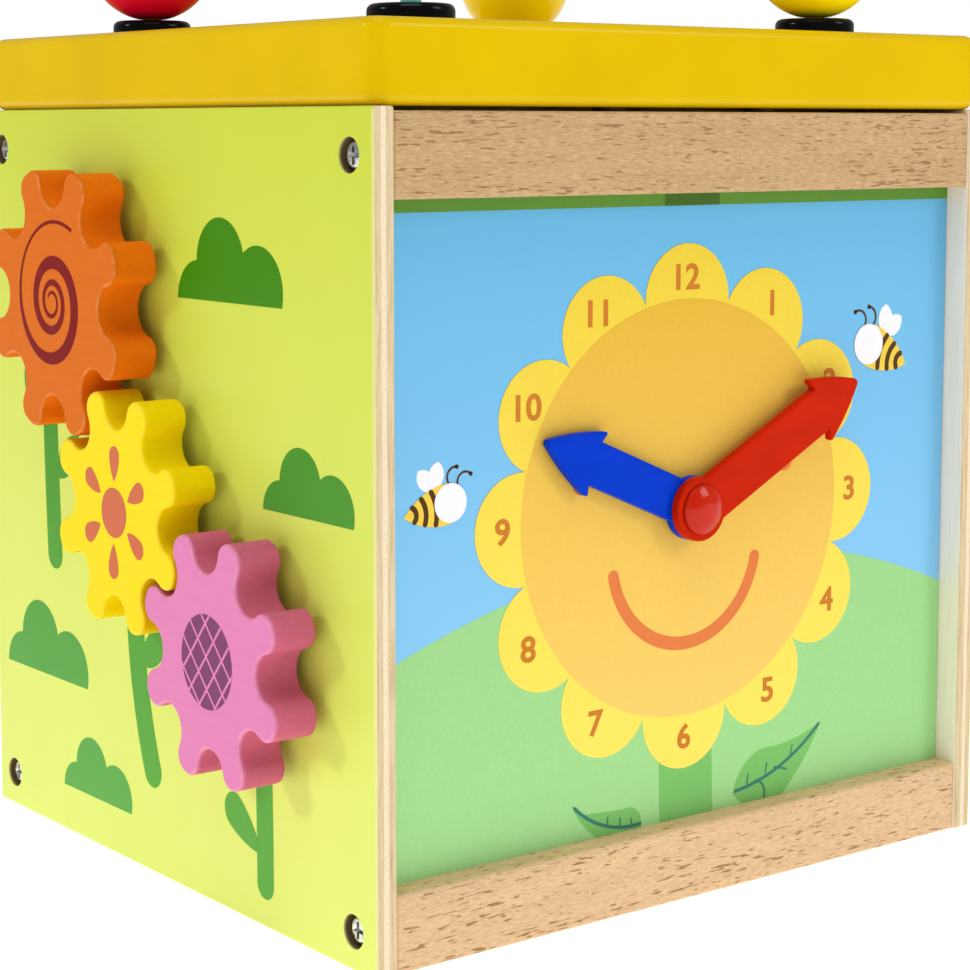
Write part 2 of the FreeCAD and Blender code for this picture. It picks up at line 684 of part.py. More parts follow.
def tile(column, z):
    """Tile with softened edges and a running bore for its rod."""
    low = (tile_left(column), TILE_AXIS_Y - TILE_THICKNESS / 2, z - TILE_HEIGHT / 2)
    high = (low[0] + TILE_WIDTH, TILE_AXIS_Y + TILE_THICKNESS / 2, z + TILE_HEIGHT / 2)
    slab = box(low, high)
    slab = slab.makeFillet(TILE_EDGE_RADIUS, slab.Edges)
    return slab.cut(rod((low[0], TILE_AXIS_Y, z), (high[0], TILE_AXIS_Y, z), TILE_ROD_RADIUS + FIT))


def tile_rod(z):
    reach = PANEL_IN + TILE_ROD_SOCKET
    return rod((-reach, TILE_AXIS_Y, z), (reach, TILE_AXIS_Y, z), TILE_ROD_RADIUS)


def tile_spacers(z):
    """Short tubes that keep the tiles of one rod apart."""
    tubes = []
    for column in range(TILE_COLUMNS + 1):
        high = tile_left(column) - RUN_GAP
        low = tile_left(column) - TILE_GAP + RUN_GAP
        start = (low, TILE_AXIS_Y, z)
        tubes.append(ring(start, (high, TILE_AXIS_Y, z), TILE_SPACER_RADIUS, TILE_ROD_RADIUS + FIT))
    return tubes


def save_case():
    save("left_panel", left_panel())
    save("right_panel", right_panel())
    save("front_top_rail", top_rail(-1))
    save("front_bottom_rail", bottom_rail(-1))
    save("back_top_rail", top_rail(1))
    save("back_bottom_rail", bottom_rail(1))
    save("clock_board", clock_board())
    save("back_board", back_board())
    save("base_board", base_board())
    save("lid", lid())
    save("lid_dowels", *[dowel(x, y) for x, y in dowel_places()])
    for name, side in (("left", -1), ("right", 1)):
        save(name + "_panel_screws", *[screw(side, y, z) for y, z in screw_places()])


def save_gears():
    for name in GEARS:
        save(name + "_gear", gear(name))
        save(name + "_gear_axle", gear_axle(*gear_centre(name)))
        save(name + "_gear_collar", gear_collar(*gear_centre(name)))
    save("gear_spacers", *[gear_spacer(*gear_centre(name)) for name in GEARS])


def save_clock():
    hour_front, minute_front, button_under = hand_fronts()
    for name, front in (("hour", hour_front), ("minute", minute_front)):
        save(name + "_hand", hand(front, **HANDS[name]))
    save("clock_pin", clock_pin())
    save("clock_washer", clock_washer())
    save("clock_nut", clock_nut())


def save_maze():
    save("teal_wire", teal_wire())
    save("orange_wire", orange_wire())
    save("wire_grommets", *[grommet(x, y) for x, y in wire_feet()])
    save("red_bead", standing_bead(ORANGE_START))
    save("yellow_bead", standing_bead(ORANGE_END))
    save("far_yellow_bead", standing_bead(TEAL_END))
    save("green_bead", top_bead(-TOP_BEAD_OFFSET))
    save("blue_bead", top_bead(TOP_BEAD_OFFSET))
    save("purple_bead", valley_bead())


def save_sliders():
    for name in SLIDERS:
        save(name + "_slider_knob", knob(*slider_place(name)))
        save(name + "_slider_stem", knob_stem(*slider_place(name)))


def save_tiles():
    for row, z in tile_rows().items():
        for column in range(TILE_COLUMNS):
            save(row + "_tile_" + str(column + 1), tile(column, z))
        save(row + "_tile_rod", tile_rod(z))
    save("tile_spacers", *[tube for z in tile_rows().values() for tube in tile_spacers(z)])


os.makedirs("parts", exist_ok=True)
save_case()
save_gears()
save_clock()
save_maze()
save_sliders()
save_tiles()
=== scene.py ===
"""Looks of a wooden activity cube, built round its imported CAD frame.

Lengths are metres in the CAD frame. The cube stands on Z = 0, the clock faces -Y, the
gears face -X, the sliders face +X and the tiles face +Y. Printed shapes are drawn in
millimetres in the plane of their face, X to the right and Y up as seen from outside.
"""

import math

import bmesh
import bpy
from mathutils import Matrix, Vector


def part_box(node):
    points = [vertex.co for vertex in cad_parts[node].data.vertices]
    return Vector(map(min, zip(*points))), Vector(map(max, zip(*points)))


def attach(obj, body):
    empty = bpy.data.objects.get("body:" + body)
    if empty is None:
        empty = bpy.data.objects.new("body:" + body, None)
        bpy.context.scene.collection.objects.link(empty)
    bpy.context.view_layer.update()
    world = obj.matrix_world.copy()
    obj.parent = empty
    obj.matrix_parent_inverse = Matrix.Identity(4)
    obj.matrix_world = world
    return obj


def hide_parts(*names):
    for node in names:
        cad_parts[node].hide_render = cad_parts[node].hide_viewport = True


bl_info = {
    "name": "Activity Cube Looks",
    "version": (1, 0, 0),
    "blender": (4, 5, 0),
    "location": "3D Viewport > Sidebar > Activity Cube",
    "description": "Builds the painted, printed and varnished pieces of a wooden activity cube",
    "category": "Object",
}

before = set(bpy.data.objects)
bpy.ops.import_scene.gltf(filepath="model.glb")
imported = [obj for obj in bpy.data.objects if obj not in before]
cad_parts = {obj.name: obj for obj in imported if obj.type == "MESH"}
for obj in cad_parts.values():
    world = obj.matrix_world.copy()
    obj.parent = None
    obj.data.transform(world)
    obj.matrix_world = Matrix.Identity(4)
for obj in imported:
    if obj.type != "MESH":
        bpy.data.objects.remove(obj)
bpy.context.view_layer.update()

MM = 0.001
UP = Vector((0, 0, 1))
FRONT = Vector((0, -1, 0))
BACK = Vector((0, 1, 0))
LEFT = Vector((-1, 0, 0))
RIGHT = Vector((1, 0, 0))
CHORD_ERROR = 0.01 * MM
HOLE_SEGMENTS = 32
SMOOTH_ANGLE = math.radians(32)
HEAD_RADIUS = 3.5 * MM
SCREW_HOLE = 4.1 * MM
# Share of its radius by which a quarter arc's middle lies in from the corner.
ARC_MIDDLE = 1 - math.sqrt(0.5)


# --- Settings -------------------------------------------------------------------------


def srgb(code):
    """Linear colour, with alpha, of an sRGB hex code."""
    channels = [int(code[i : i + 2], 16) / 255 for i in (1, 3, 5)]
    linear = [c / 12.92 if c <= 0.04045 else ((c + 0.055) / 1.055) ** 2.4 for c in channels]
    return (*linear, 1.0)


def length(name, description, millimetres):
    """Length setting whose default is given in millimetres."""
    return bpy.props.FloatProperty(
        name=name,
        description=description,
        default=millimetres * MM,
        min=0.0,
        precision=5,
        subtype="DISTANCE",
        unit="LENGTH",
    )


def angle(name, description, degrees):
    """Angle setting whose default is given in degrees."""
    return bpy.props.FloatProperty(
        name=name,
        description=description,
        default=math.radians(degrees),
        subtype="ANGLE",
        unit="ROTATION",
    )


def number(name, description, default, least=0.0):
    """Plain number setting."""
    return bpy.props.FloatProperty(name=name, description=description, default=default, min=least)


def colour(name, description, code):
    """Colour setting whose default is an sRGB hex code."""
    return bpy.props.FloatVectorProperty(
        name=name,
        description=description,
        default=srgb(code),
        size=4,
        min=0.0,
        max=1.0,
        subtype="COLOR",
    )


class CubeSizes(bpy.types.PropertyGroup):
    """Sizes of the shapes that replace CAD nodes, and of the print."""

    ink: length("Ink layer", "Thickness of one printed layer", 0.04)
    lid_corner: length("Lid corner", "Radius of the lid's upright corners", 5.0)
    lid_edge: length("Lid edge", "Radius of the lid's long edges", 2.5)

    teeth: bpy.props.IntProperty(name="Teeth", description="Teeth of each gear", default=8, min=5)
    large_tip: length("Large gear tip", "Tip radius of the orange gear", 35.2)
    large_root: length("Large gear root", "Root radius of the orange gear", 24.2)
    large_notch: length("Large gear notch", "Radius of the orange gear's notches", 6.6)
    small_tip: length("Small gear tip", "Tip radius of the yellow and pink gears", 31.0)
    small_root: length("Small gear root", "Root radius of the yellow and pink gears", 21.0)
    small_notch: length("Small gear notch", "Radius of the small gears' notches", 5.8)
    notch_flare: angle("Notch flare", "Lean of a notch's flanks", 14.0)
    tooth_corner: length("Tooth corner", "Radius of a tooth's corners", 4.2)
    gear_edge: length("Gear edge", "Radius of the gears' face edges", 0.8)
    gear_socket: length("Gear socket", "Depth of the axle's socket in a gear", 8.0)
    orange_turn: angle("Orange turn", "Turn of the orange gear from notch-up", 1.5)
    yellow_turn: angle("Yellow turn", "Turn of the yellow gear from notch-up", 2.5)
    pink_turn: angle("Pink turn", "Turn of the pink gear from notch-up", -1.2)

    hour_length: length("Hour hand", "From the axis to the hour hand's tip", 52.0)
    hour_shaft: length("Hour shaft", "Width of the hour hand's shaft", 11.0)
    hour_head: length("Hour head", "Width of the hour hand's head", 17.0)
    hour_head_length: length("Hour head length", "Length of the hour hand's head", 16.8)
    hour_angle: angle("Hour angle", "Angle of the hour hand from +X", 156.7)
    minute_length: length("Minute hand", "From the axis to the minute hand's tip", 62.4)
    minute_shaft: length("Minute shaft", "Width of the minute hand's shaft", 12.3)
    minute_head: length("Minute head", "Width of the minute hand's head", 19.0)
    minute_head_length: length("Minute head length", "Length of the minute hand's head", 15.3)
    minute_angle: angle("Minute angle", "Angle of the minute hand from +X", 27.6)
    hand_hub: length("Hand hub", "Radius of the hands' hubs", 8.1)
    hand_sweep: length("Barb sweep", "How far a head's barbs lean back", 1.0)
    hand_bulge: length("Head bulge", "How far a head's sides bulge", 0.8)
    hand_corner: length("Hand corner", "Radius of a head's corners", 1.2)
    hand_edge: length("Hand edge", "Radius of the hands' front edges", 0.5)
    pin_radius: length("Clock pin", "Radius of the clock's pin", 2.5)
    button_height: length("Button height", "Height of the pin's domed button", 2.2)

    wire_radius: length("Wire", "Radius of the sleeved wires", 2.4)
    hump_radius: length("Hump", "Bend radius of the teal wire's humps", 30.0)
    arch_radius: length("Arch", "Bend radius of the orange wire's corners", 40.0)
    grommet_shoulder: length("Grommet shoulder", "Radius of a grommet's shoulder", 1.7)
    bead_bore: length("Bead bore", "Radius of the beads' bores", 2.75)
    bead_rim: length("Bead rim", "Radius of a bead's rim at its bore", 0.9)

    knob_edge: length("Knob edge", "Radius of a knob's front edge", 4.5)
    knob_stem: length("Knob stem", "Radius of a knob's stem", 4.0)
    knob_socket: length("Knob socket", "Depth of the stem's socket in a knob", 8.0)
    slot_width: length("Slot width", "Width of the sliders' slots", 8.8)
    tile_edge: length("Tile edge", "Radius of a tile's edges", 1.5)
    tile_bore: length("Tile bore", "Radius of a tile's bore", 3.05)

    ply: length("Outer ply", "Thickness of a plywood panel's outer plies", 2.3)
    arris: length("Arris", "Width of the panels' bevelled edges", 0.6)


class CubeColours(bpy.types.PropertyGroup):
    """Colours of the paints, inks, plastics and woods."""

    # Each top and bottom pair darkens towards the top, partly as print and partly as painted shade, the
    # bottom being lit more by the floor.
    lime_high: colour("Lime, top", "Panel print at the top", "#C6D23C")
    lime_low: colour("Lime, bottom", "Panel print at the bottom", "#DFEA72")
    bush_high: colour("Bush, top", "Upper bushes", "#3E8408")
    bush_low: colour("Bush, bottom", "Lower bushes", "#5FA94C")
    stalk_high: colour("Stalk, top", "Upper stalks and leaves", "#489422")
    stalk_low: colour("Stalk, bottom", "Lower stalks and leaves", "#5EA840")
    sky_high: colour("Sky, top", "Clock print at the top", "#63B2DC")
    sky_low: colour("Sky, bottom", "Clock print above the hill", "#84C3EC")
    hill_high: colour("Hill, top", "Crest of the hill", "#9AD088")
    hill_low: colour("Hill, bottom", "Foot of the hill", "#A2DA90")
    stem: colour("Flower stem", "Stem below the dial", "#7BBF68")
    vein: colour("Leaf vein", "Veins of the dial's leaves", "#3F7F70")
    band: colour("Top band", "Grass band at the top of the clock print", "#62923A")
    petal_high: colour("Petal, top", "Upper petals", "#E9CB3E")
    petal_low: colour("Petal, bottom", "Lower petals", "#FCE262")
    dial_high: colour("Dial, top", "Top of the dial", "#DFAF32")
    dial_low: colour("Dial, bottom", "Bottom of the dial", "#F6CE6E")
    numeral: colour("Numeral", "Numerals of the clock", "#C97B2A")
    smile: colour("Smile", "Curved line and dots on the dial", "#E07C42")
    spiral: colour("Spiral", "Spiral on the orange gear", "#7C0000")
    terracotta: colour("Terracotta", "Flower on the yellow gear", "#CC6A45")
    plum: colour("Plum", "Seed disc on the pink gear", "#7A3C64")
    insect_body: colour("Insect body", "Bodies of the insects", "#EFCB4A")
    insect_stripe: colour("Insect stripe", "Stripes and feelers", "#54361C")
    white: colour("White", "Printed white", "#EFEEF2")

    lid_enamel: colour("Lid enamel", "Lid", "#DDB800")
    yellow_enamel: colour("Yellow enamel", "Yellow beads and star", "#FFE008")
    red_enamel: colour("Red enamel", "Red bead and knob", "#DC0834")
    green_enamel: colour("Green enamel", "Green bead and knob", "#2F9A2C")
    blue_enamel: colour("Blue enamel", "Blue bead and knob", "#1560C8")
    purple_enamel: colour("Purple enamel", "Small bead", "#7D3FA6")
    white_enamel: colour("White enamel", "Tiles", "#F0EEE4")
    # The gears' edge colours are set apart from their faces' as painted light and shade.
    orange_paint: colour("Orange paint", "Face of the large gear", "#D4690E")
    orange_edge: colour("Orange edge", "Edge of the large gear", "#E8700A")
    yellow_paint: colour("Yellow paint", "Face of the middle gear", "#F5D70F")
    yellow_edge: colour("Yellow edge", "Edge of the middle gear", "#F3D304")
    pink_paint: colour("Pink paint", "Face of the lower gear", "#DC80B2")
    pink_edge: colour("Pink edge", "Edge of the lower gear", "#CC6483")
    red_plastic: colour("Red plastic", "Minute hand and button", "#C22000")
    blue_plastic: colour("Blue plastic", "Hour hand", "#0037C2")
    black_plastic: colour("Black plastic", "Grommets and washer", "#040405")
    teal_sleeve: colour("Teal sleeve", "Low wire", "#6FC8C0")
    orange_sleeve: colour("Orange sleeve", "Tall wire", "#EE7A22")
    beech: colour("Beech", "Ground colour of the rails", "#D9B68A")
    beech_fleck: colour("Beech fleck", "Ray flecks of the rails", "#8F6638")
    # Beech of the top rails, darker as painted shade under the lid.
    beech_dark: colour("Shaded beech", "Ground colour of the top rails", "#C09D6E")
    birch: colour("Birch", "Face and outer plies", "#DCC7A0")
    birch_core: colour("Birch core", "Middle ply", "#F3E0C4")
    inner_face: colour("Inner face", "Pale inner face of the panels", "#FFF2E0")
    birch_streak: colour("Birch streak", "Grain of the birch", "#B99C70")
    zinc: colour("Zinc", "Screws and push nut", "#D0D0CE")
    # Painted shade in the screw holes.
    drilled: colour("Hole shade", "Walls of the screw holes", "#6A563A")


class CubeStage(bpy.types.PropertyGroup):
    """Camera, lights and floor."""

    camera_place: bpy.props.FloatVectorProperty(
        name="Camera place",
        description="Where the camera stands",
        default=(-396.5 * MM, -521.3 * MM, 192.2 * MM),
        subtype="TRANSLATION",
        unit="LENGTH",
    )
    camera_turn: angle("Camera turn", "Turn of the camera from +Y towards +X", 37.5)
    camera_tilt: angle("Camera tilt", "How far the camera looks down", 6.26)
    lens: number("Lens", "Focal length on a 36 mm sensor, in millimetres", 88.08, 1.0)
    shift: number("Shift", "Vertical lens shift, in image widths", -0.10, -1.0)
    sky_light: number("Sky light", "Strength of the even studio light", 0.36)
    side_light: number("Side light", "Power of the lamp beside the gears, in watts", 7.5)
    front_light: number("Front light", "Power of the lamp before the clock, in watts", 9.0)
    top_light: number("Top light", "Power of the lamp overhead, in watts", 13.0)
    floor_size: length("Floor", "Radius of the floor", 6000.0)
    floor_white: colour("Floor white", "Matt floor", "#FAFAFA")
    floor_glow: number("Floor glow", "How strongly the floor is lit from below", 0.75)


# --- Shapes ---------------------------------------------------------------------------


def arc_sweep(start, through, end):
    """Centre of the circle through three points, and the signed angle from first to last."""
    a = through - start
    b = end - start
    cross = a.x * b.y - a.y * b.x
    away = Vector((b.y, -b.x)) * a.length_squared - Vector((a.y, -a.x)) * b.length_squared
    centre = start + away / (2 * cross)
    first, last = start - centre, end - centre
    turn = math.atan2(last.y, last.x) - math.atan2(first.y, first.x)
    return centre, turn % math.tau if cross > 0 else -(-turn % math.tau)


def arc_steps(radius, sweep):
    """Segments that keep an arc's chords within the chord error."""
    step = 2 * math.acos(1 - min(CHORD_ERROR / radius, 0.5))
    return max(2, math.ceil(abs(sweep) / step))


def trace(bm, start, moves, unit=1.0, closed=True):
    """Chain of edges in XY. A move is (end,) for a line or (through, end) for an arc."""
    known = set(bm.edges)
    first = last = bm.verts.new((start[0] * unit, start[1] * unit, 0))
    for move in moves:
        *through, end = (Vector(p) * unit for p in move)
        if through:
            centre, sweep = arc_sweep(last.co.xy, through[0], end)
            steps = arc_steps((last.co.xy - centre).length, sweep)
            made = bmesh.ops.spin(bm, geom=[last], cent=centre.to_3d(), axis=UP, angle=sweep, steps=steps)
            last = next(v for v in made["geom_last"] if isinstance(v, bmesh.types.BMVert))
        else:
            last = bmesh.ops.extrude_vert_indiv(bm, verts=[last])["verts"][0]
            last.co = end.to_3d()
    if closed:
        bmesh.ops.weld_verts(bm, targetmap={last: first})
    return [e for e in bm.edges if e not in known]


def outline(bm, start, moves, unit=1.0):
    """Flat face in XY inside a closed chain of lines and arcs."""
    return bmesh.ops.edgeloop_fill(bm, edges=trace(bm, start, moves, unit))["faces"]


def thicken(bm, faces, height):
    """Extrude flat faces along Z into closed solids."""
    made = bmesh.ops.extrude_face_region(bm, geom=faces)
    top = [g for g in made["geom"] if isinstance(g, bmesh.types.BMVert)]
    bmesh.ops.translate(bm, vec=UP * height, verts=top)


def rim(bm, height):
    """Edges of a plate that lie at one height."""
    return [e for e in bm.edges if all(abs(v.co.z - height) < CHORD_ERROR for v in e.verts)]


def soften(bm, edges, radius, segments=4):
    """Round edges over."""
    bmesh.ops.bevel(
        bm,
        geom=edges,
        offset=radius,
        segments=segments,
        profile=0.5,
        affect="EDGES",
        material=-1,
        loop_slide=False,
    )


def round_corners(bm, verts, radius, segments=5):
    """Round corner points of a flat face over."""
    bmesh.ops.bevel(
        bm, geom=verts, offset=radius, segments=segments, profile=0.5, affect="VERTICES", material=-1
    )


def flat_face(bm, height, out):
    """Largest face at one height that faces up (1) or down (-1)."""
    bm.normal_update()
    facing_out = [f for f in bm.faces if f.normal.z * out > 0.999]
    level = [f for f in facing_out if abs(f.verts[0].co.z - height) < CHORD_ERROR]
    return max(level, key=lambda f: f.calc_area())


def hole_in(bm, face, radius):
    """Round hole at the origin of a level face; returns the hole's edges."""
    height = face.verts[0].co.z
    border = list(face.edges)
    bmesh.ops.delete(bm, geom=[face], context="FACES_ONLY")
    place = Matrix.Translation((0, 0, height))
    circle = bmesh.ops.create_circle(bm, radius=radius, segments=HOLE_SEGMENTS, matrix=place)
    edges = list({e for v in circle["verts"] for e in v.link_edges})
    bmesh.ops.triangle_fill(bm, use_beauty=True, edges=border + edges)
    return edges


def pierce(bm, low, high, radius):
    """Round hole along Z through a plate between two heights."""
    edges = hole_in(bm, flat_face(bm, low, -1), radius)
    edges += hole_in(bm, flat_face(bm, high, 1), radius)
    bmesh.ops.bridge_loops(bm, edges=edges)


def socket(bm, height, out, radius, depth):
    """Blind round hole along Z in a level face."""
    edges = hole_in(bm, flat_face(bm, height, out), radius)
    floor = push(bm, edges, UP * (-out * depth))
    bmesh.ops.edgeloop_fill(bm, edges=floor)


def push(bm, edges, shift, scale=1.0, centre=(0, 0, 0)):
    """Extrude edges, scale the new ring in XY about a point and move it; returns its edges."""
    made = bmesh.ops.extrude_edge_only(bm, edges=edges)["geom"]
    verts = [g for g in made if isinstance(g, bmesh.types.BMVert)]
    space = Matrix.Translation(Vector(centre) * -1)
    bmesh.ops.scale(bm, vec=(scale, scale, 1), space=space, verts=verts)
    bmesh.ops.translate(bm, vec=shift, verts=verts)
    return [g for g in made if isinstance(g, bmesh.types.BMEdge) and all(v in verts for v in g.verts)]


def revolve(bm, start, moves, closed=True):
    """Turn a profile, X its radius and Y its height, once round the Y axis."""
    edges = trace(bm, start, moves, closed=closed)
    verts = list({v for e in edges for v in e.verts})
    widest = max(v.co.x for v in verts)
    bmesh.ops.spin(
        bm,
        geom=verts + edges,
        cent=(0, 0, 0),
        axis=(0, 1, 0),
        angle=math.tau,
        steps=arc_steps(widest, math.tau),
        use_merge=True,
    )
    bmesh.ops.remove_doubles(bm, verts=bm.verts, dist=CHORD_ERROR / 10)


def across(p):
    """Mirror image of a point across the X axis."""
    return Vector((p[0], -p[1]))


def facing(out, origin=(0, 0, 0)):
    """Frame of an upright face: X to its right, Y up, Z out of it."""
    place = Matrix((UP.cross(out), UP, out)).transposed().to_4x4()
    place.translation = origin
    return place


def along(axis, origin):
    """Frame whose Y axis runs along a direction."""
    place = Vector((0, 1, 0)).rotation_difference(axis).to_matrix().to_4x4()
    place.translation = origin
    return place


def middle(node):
    """Centre of a CAD node's box."""
    low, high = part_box(node)
    return (low + high) / 2


def wire_feet(node, radius):
    """Centres of a wire's feet, left first. The teal wire runs to the back, the other to the front."""
    low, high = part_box(node)
    near, far = low.y + radius, high.y - radius
    if node == "orange_wire":
        near, far = far, near
    return Vector((low.x + radius, near, low.z)), Vector((high.x - radius, far, low.z))


def absorb(whole, bm):
    """Move one bmesh's shape into another."""
    mesh = bpy.data.meshes.new("shape")
    bm.to_mesh(mesh)
    bm.free()
    whole.from_mesh(mesh)
    bpy.data.meshes.remove(mesh)


def piece(bm, name, body, material, nodes=()):
    """Turn a bmesh that is already in place into a shown piece on a CAD body."""
    bmesh.ops.recalc_face_normals(bm, faces=bm.faces)
    mesh = bpy.data.meshes.new(name)
    bm.to_mesh(mesh)
    bm.free()
    mesh.materials.append(material)
    mesh.shade_smooth()
    mesh.set_sharp_from_angle(angle=SMOOTH_ANGLE)
    made = bpy.data.objects.new(name, mesh)
    bpy.context.scene.collection.objects.link(made)
    weighted = made.modifiers.new("even_normals", "WEIGHTED_NORMAL")
    weighted.keep_sharp = True
    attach(made, body)
    if nodes:
        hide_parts(*nodes)
    return made


# --- Printed shapes, in millimetres ---------------------------------------------------


def polar(radius, degrees, centre=(0, 0)):
    """Point at a radius and angle from a centre."""
    turn = math.radians(degrees)
    return (centre[0] + radius * math.cos(turn), centre[1] + radius * math.sin(turn))


def disc(centre, radius):
    """Circle."""
    right, top, left, bottom = (polar(radius, a, centre) for a in (0, 90, 180, 270))
    return right, [(top, left), (bottom, right)]


def polygon(*points):
    """Straight-sided shape."""
    return points[0], [(p,) for p in (*points[1:], points[0])]


def stroke(start, end, width):
    """Straight band with round ends."""
    along_it = (Vector(end) - Vector(start)).normalized() * (width / 2)
    side = Vector((-along_it.y, along_it.x))
    a, b = Vector(start), Vector(end)
    return a - side, [(b - side,), (b + along_it, b + side), (a + side,), (a - along_it, a - side)]


def bow(start, through, end, width):
    """Band with round ends along the arc through three points."""
    a, m, b = Vector(start), Vector(through), Vector(end)
    centre, sweep = arc_sweep(a, m, b)
    half = width / 2
    wide = 1 + half / (a - centre).length
    slim = 1 - half / (a - centre).length
    sense = 1 if sweep > 0 else -1

    def spot(p, share):
        return centre + (p - centre) * share

    def cap(p, way):
        out = (p - centre).normalized()
        return p + Vector((-out.y, out.x)) * half * way

    return spot(a, wide), [
        (spot(m, wide), spot(b, wide)),
        (cap(b, sense), spot(b, slim)),
        (spot(m, slim), spot(a, slim)),
        (cap(a, -sense), spot(a, wide)),
    ]


def moved(shape, shift, scale=1.0, degrees=0.0, mirror=False):
    """Copy of a shape, mirrored in Y if asked, then turned, scaled and moved."""
    turn = Matrix.Rotation(math.radians(degrees), 2) * scale
    if mirror:
        turn = turn @ Matrix(((1, 0), (0, -1)))

    def spot(p):
        return turn @ Vector(p) + Vector(shift)

    start, moves = shape
    return spot(start), [tuple(spot(p) for p in move) for move in moves]


def bush():
    """Three-lobed bush on a flat foot, 47.5 wide, its foot's left end at the origin."""
    return (0, 0), [
        ((2.8, 6.7), (9.2, 9.6)),
        ((19.6, 20.3), (30.6, 12.2)),
        ((36.5, 14.2), (47.5, 0)),
        ((0, 0),),
    ]


def drop(inner, outer, width):
    """Petal with its point towards the origin, along X."""
    half = width / 2
    shoulder = outer - half
    belly = inner + 0.55 * (shoulder - inner)
    return (inner, 0), [
        ((belly, 0.78 * half), (shoulder, half)),
        ((outer, 0), (shoulder, -half)),
        ((belly, -0.78 * half), (inner, 0)),
    ]


def oval(centre, long_radius, wide_radius, degrees):
    """Leaf-shaped oval of two arcs."""
    tip = (long_radius, 0)
    tail = (-long_radius, 0)
    return moved((tip, [((0, wide_radius), tail), ((0, -wide_radius), tip)]), centre, degrees=degrees)


def star(centre, outer, inner, points=5):
    """Star with a point up."""
    spots = [
        polar(outer if k % 2 == 0 else inner, 90 + 180 * k / points, centre) for k in range(2 * points)
    ]
    return polygon(*spots)


def heart(size):
    """Heart of two round lobes and two bowed sides."""
    lobe = 0.27 * size
    top = 0.18 * size
    low = -0.5 * size
    side = 0.53 * size
    return (0, top), [
        ((lobe, top + lobe), (side, top)),
        ((0.36 * size, -0.16 * size), (0, low)),
        ((-0.36 * size, -0.16 * size), (-side, top)),
        ((-lobe, top + lobe), (0, top)),
    ]


def stadium(start_x, end_x, y, half):
    """Long round-ended shape along X."""
    return (start_x, y - half), [
        ((end_x, y - half),),
        ((end_x + half, y), (end_x, y + half)),
        ((start_x, y + half),),
        ((start_x - half, y), (start_x, y - half)),
    ]


def print_shapes(name, body, face, layer, material, shapes):
    """Print shapes on a face as one thin piece, on top of the layers below."""
    ink = bpy.context.scene.cube_sizes.ink
    bm = bmesh.new()
    for start, moves in shapes:
        thicken(bm, outline(bm, start, moves, MM), ink)
    bm.transform(face @ Matrix.Translation((0, 0, (layer - 1) * ink)))
    return piece(bm, name, body, material)


# --- Materials ------------------------------------------------------------------------


def feed(tree, node, inputs):
    """Set or link inputs, by name or in the order of the enabled ones. A node gives its output."""
    if isinstance(inputs, dict):
        pairs = [(node.inputs[key], value) for key, value in inputs.items()]
    else:
        pairs = zip([s for s in node.inputs if s.enabled], inputs)
    for socket, value in pairs:
        if isinstance(value, bpy.types.Node):
            value = next(s for s in value.outputs if s.enabled)
        if isinstance(value, bpy.types.NodeSocket):
            tree.links.new(value, socket)
        else:
            socket.default_value = value


def add(tree, kind, inputs=(), **settings):
    """Add a node with its settings and links."""
    node = tree.nodes.new("ShaderNode" + kind)
    for key, value in settings.items():
        setattr(node, key, value)
    feed(tree, node, inputs)
    return node


def surface(name, roughness, ior=1.5, metallic=0.0, specular=0.3):
    """New material with its constant shader values set; returns it, its tree and its shader."""
    material = bpy.data.materials.new(name)
    material.use_nodes = True
    tree = material.node_tree
    shader = tree.nodes["Principled BSDF"]
    values = {"Roughness": roughness, "IOR": ior, "Metallic": metallic, "Specular IOR Level": specular}
    feed(tree, shader, values)
    return material, tree, shader


def pattern(tree, size, detail=2.0, roughness=0.5, lean=(0, 0, 0)):
    """Noise in the piece's own space; size is its period in millimetres along X, Y and Z."""
    place = add(tree, "TexCoord").outputs["Object"]
    scale = [1 / (s * MM) for s in size]
    spread = add(tree, "Mapping", {"Vector": place, "Rotation": lean, "Scale": scale})
    inputs = {"Vector": spread, "Scale": 1.0, "Detail": detail, "Roughness": roughness}
    return add(tree, "TexNoise", inputs)


def fade(tree, value, low, high, first, second, most=1.0):
    """Colour that goes from the first towards the second as a value crosses a range."""
    share = add(tree, "MapRange", [value, low, high, 0.0, most])
    return add(tree, "Mix", [share, first, second], data_type="RGBA")


def patches(tree, size, low, high, detail=2.0):
    """Value that wanders between two limits; size as in pattern."""
    return add(tree, "MapRange", [pattern(tree, size, detail), 0.3, 0.7, low, high])


def shade(tint, share):
    """A colour made lighter or darker."""
    return (*(min(1.0, c * share) for c in tint[:3]), 1.0)


def rim_tint(tint):
    """Lighter rim tint, thin paint over pale wood with a painted highlight."""
    return (*(0.75 * c + 0.25 * w for c, w in zip(tint[:3], srgb("#FFC890"))), 1.0)


def own_place(tree):
    """The piece's own X, Y and Z."""
    return add(tree, "SeparateXYZ", [add(tree, "TexCoord").outputs["Object"]]).outputs


def gloss_enamel(name, tint):
    """Sprayed gloss enamel on sanded wood: deep, wet-looking colour with a faint orange peel."""
    material, tree, shader = surface(name, 0.14, specular=0.08)
    base = fade(tree, pattern(tree, (28, 28, 28)), 0.3, 0.7, shade(tint, 0.95), shade(tint, 1.03))
    peel = pattern(tree, (1.6, 1.6, 1.6), detail=1)
    bump = add(tree, "Bump", {"Height": peel, "Strength": 0.16, "Distance": 0.05 * MM})
    gloss = patches(tree, (9, 9, 9), 0.12, 0.22, 3)
    feed(tree, shader, {"Base Color": base, "Roughness": gloss, "Normal": bump})
    return material


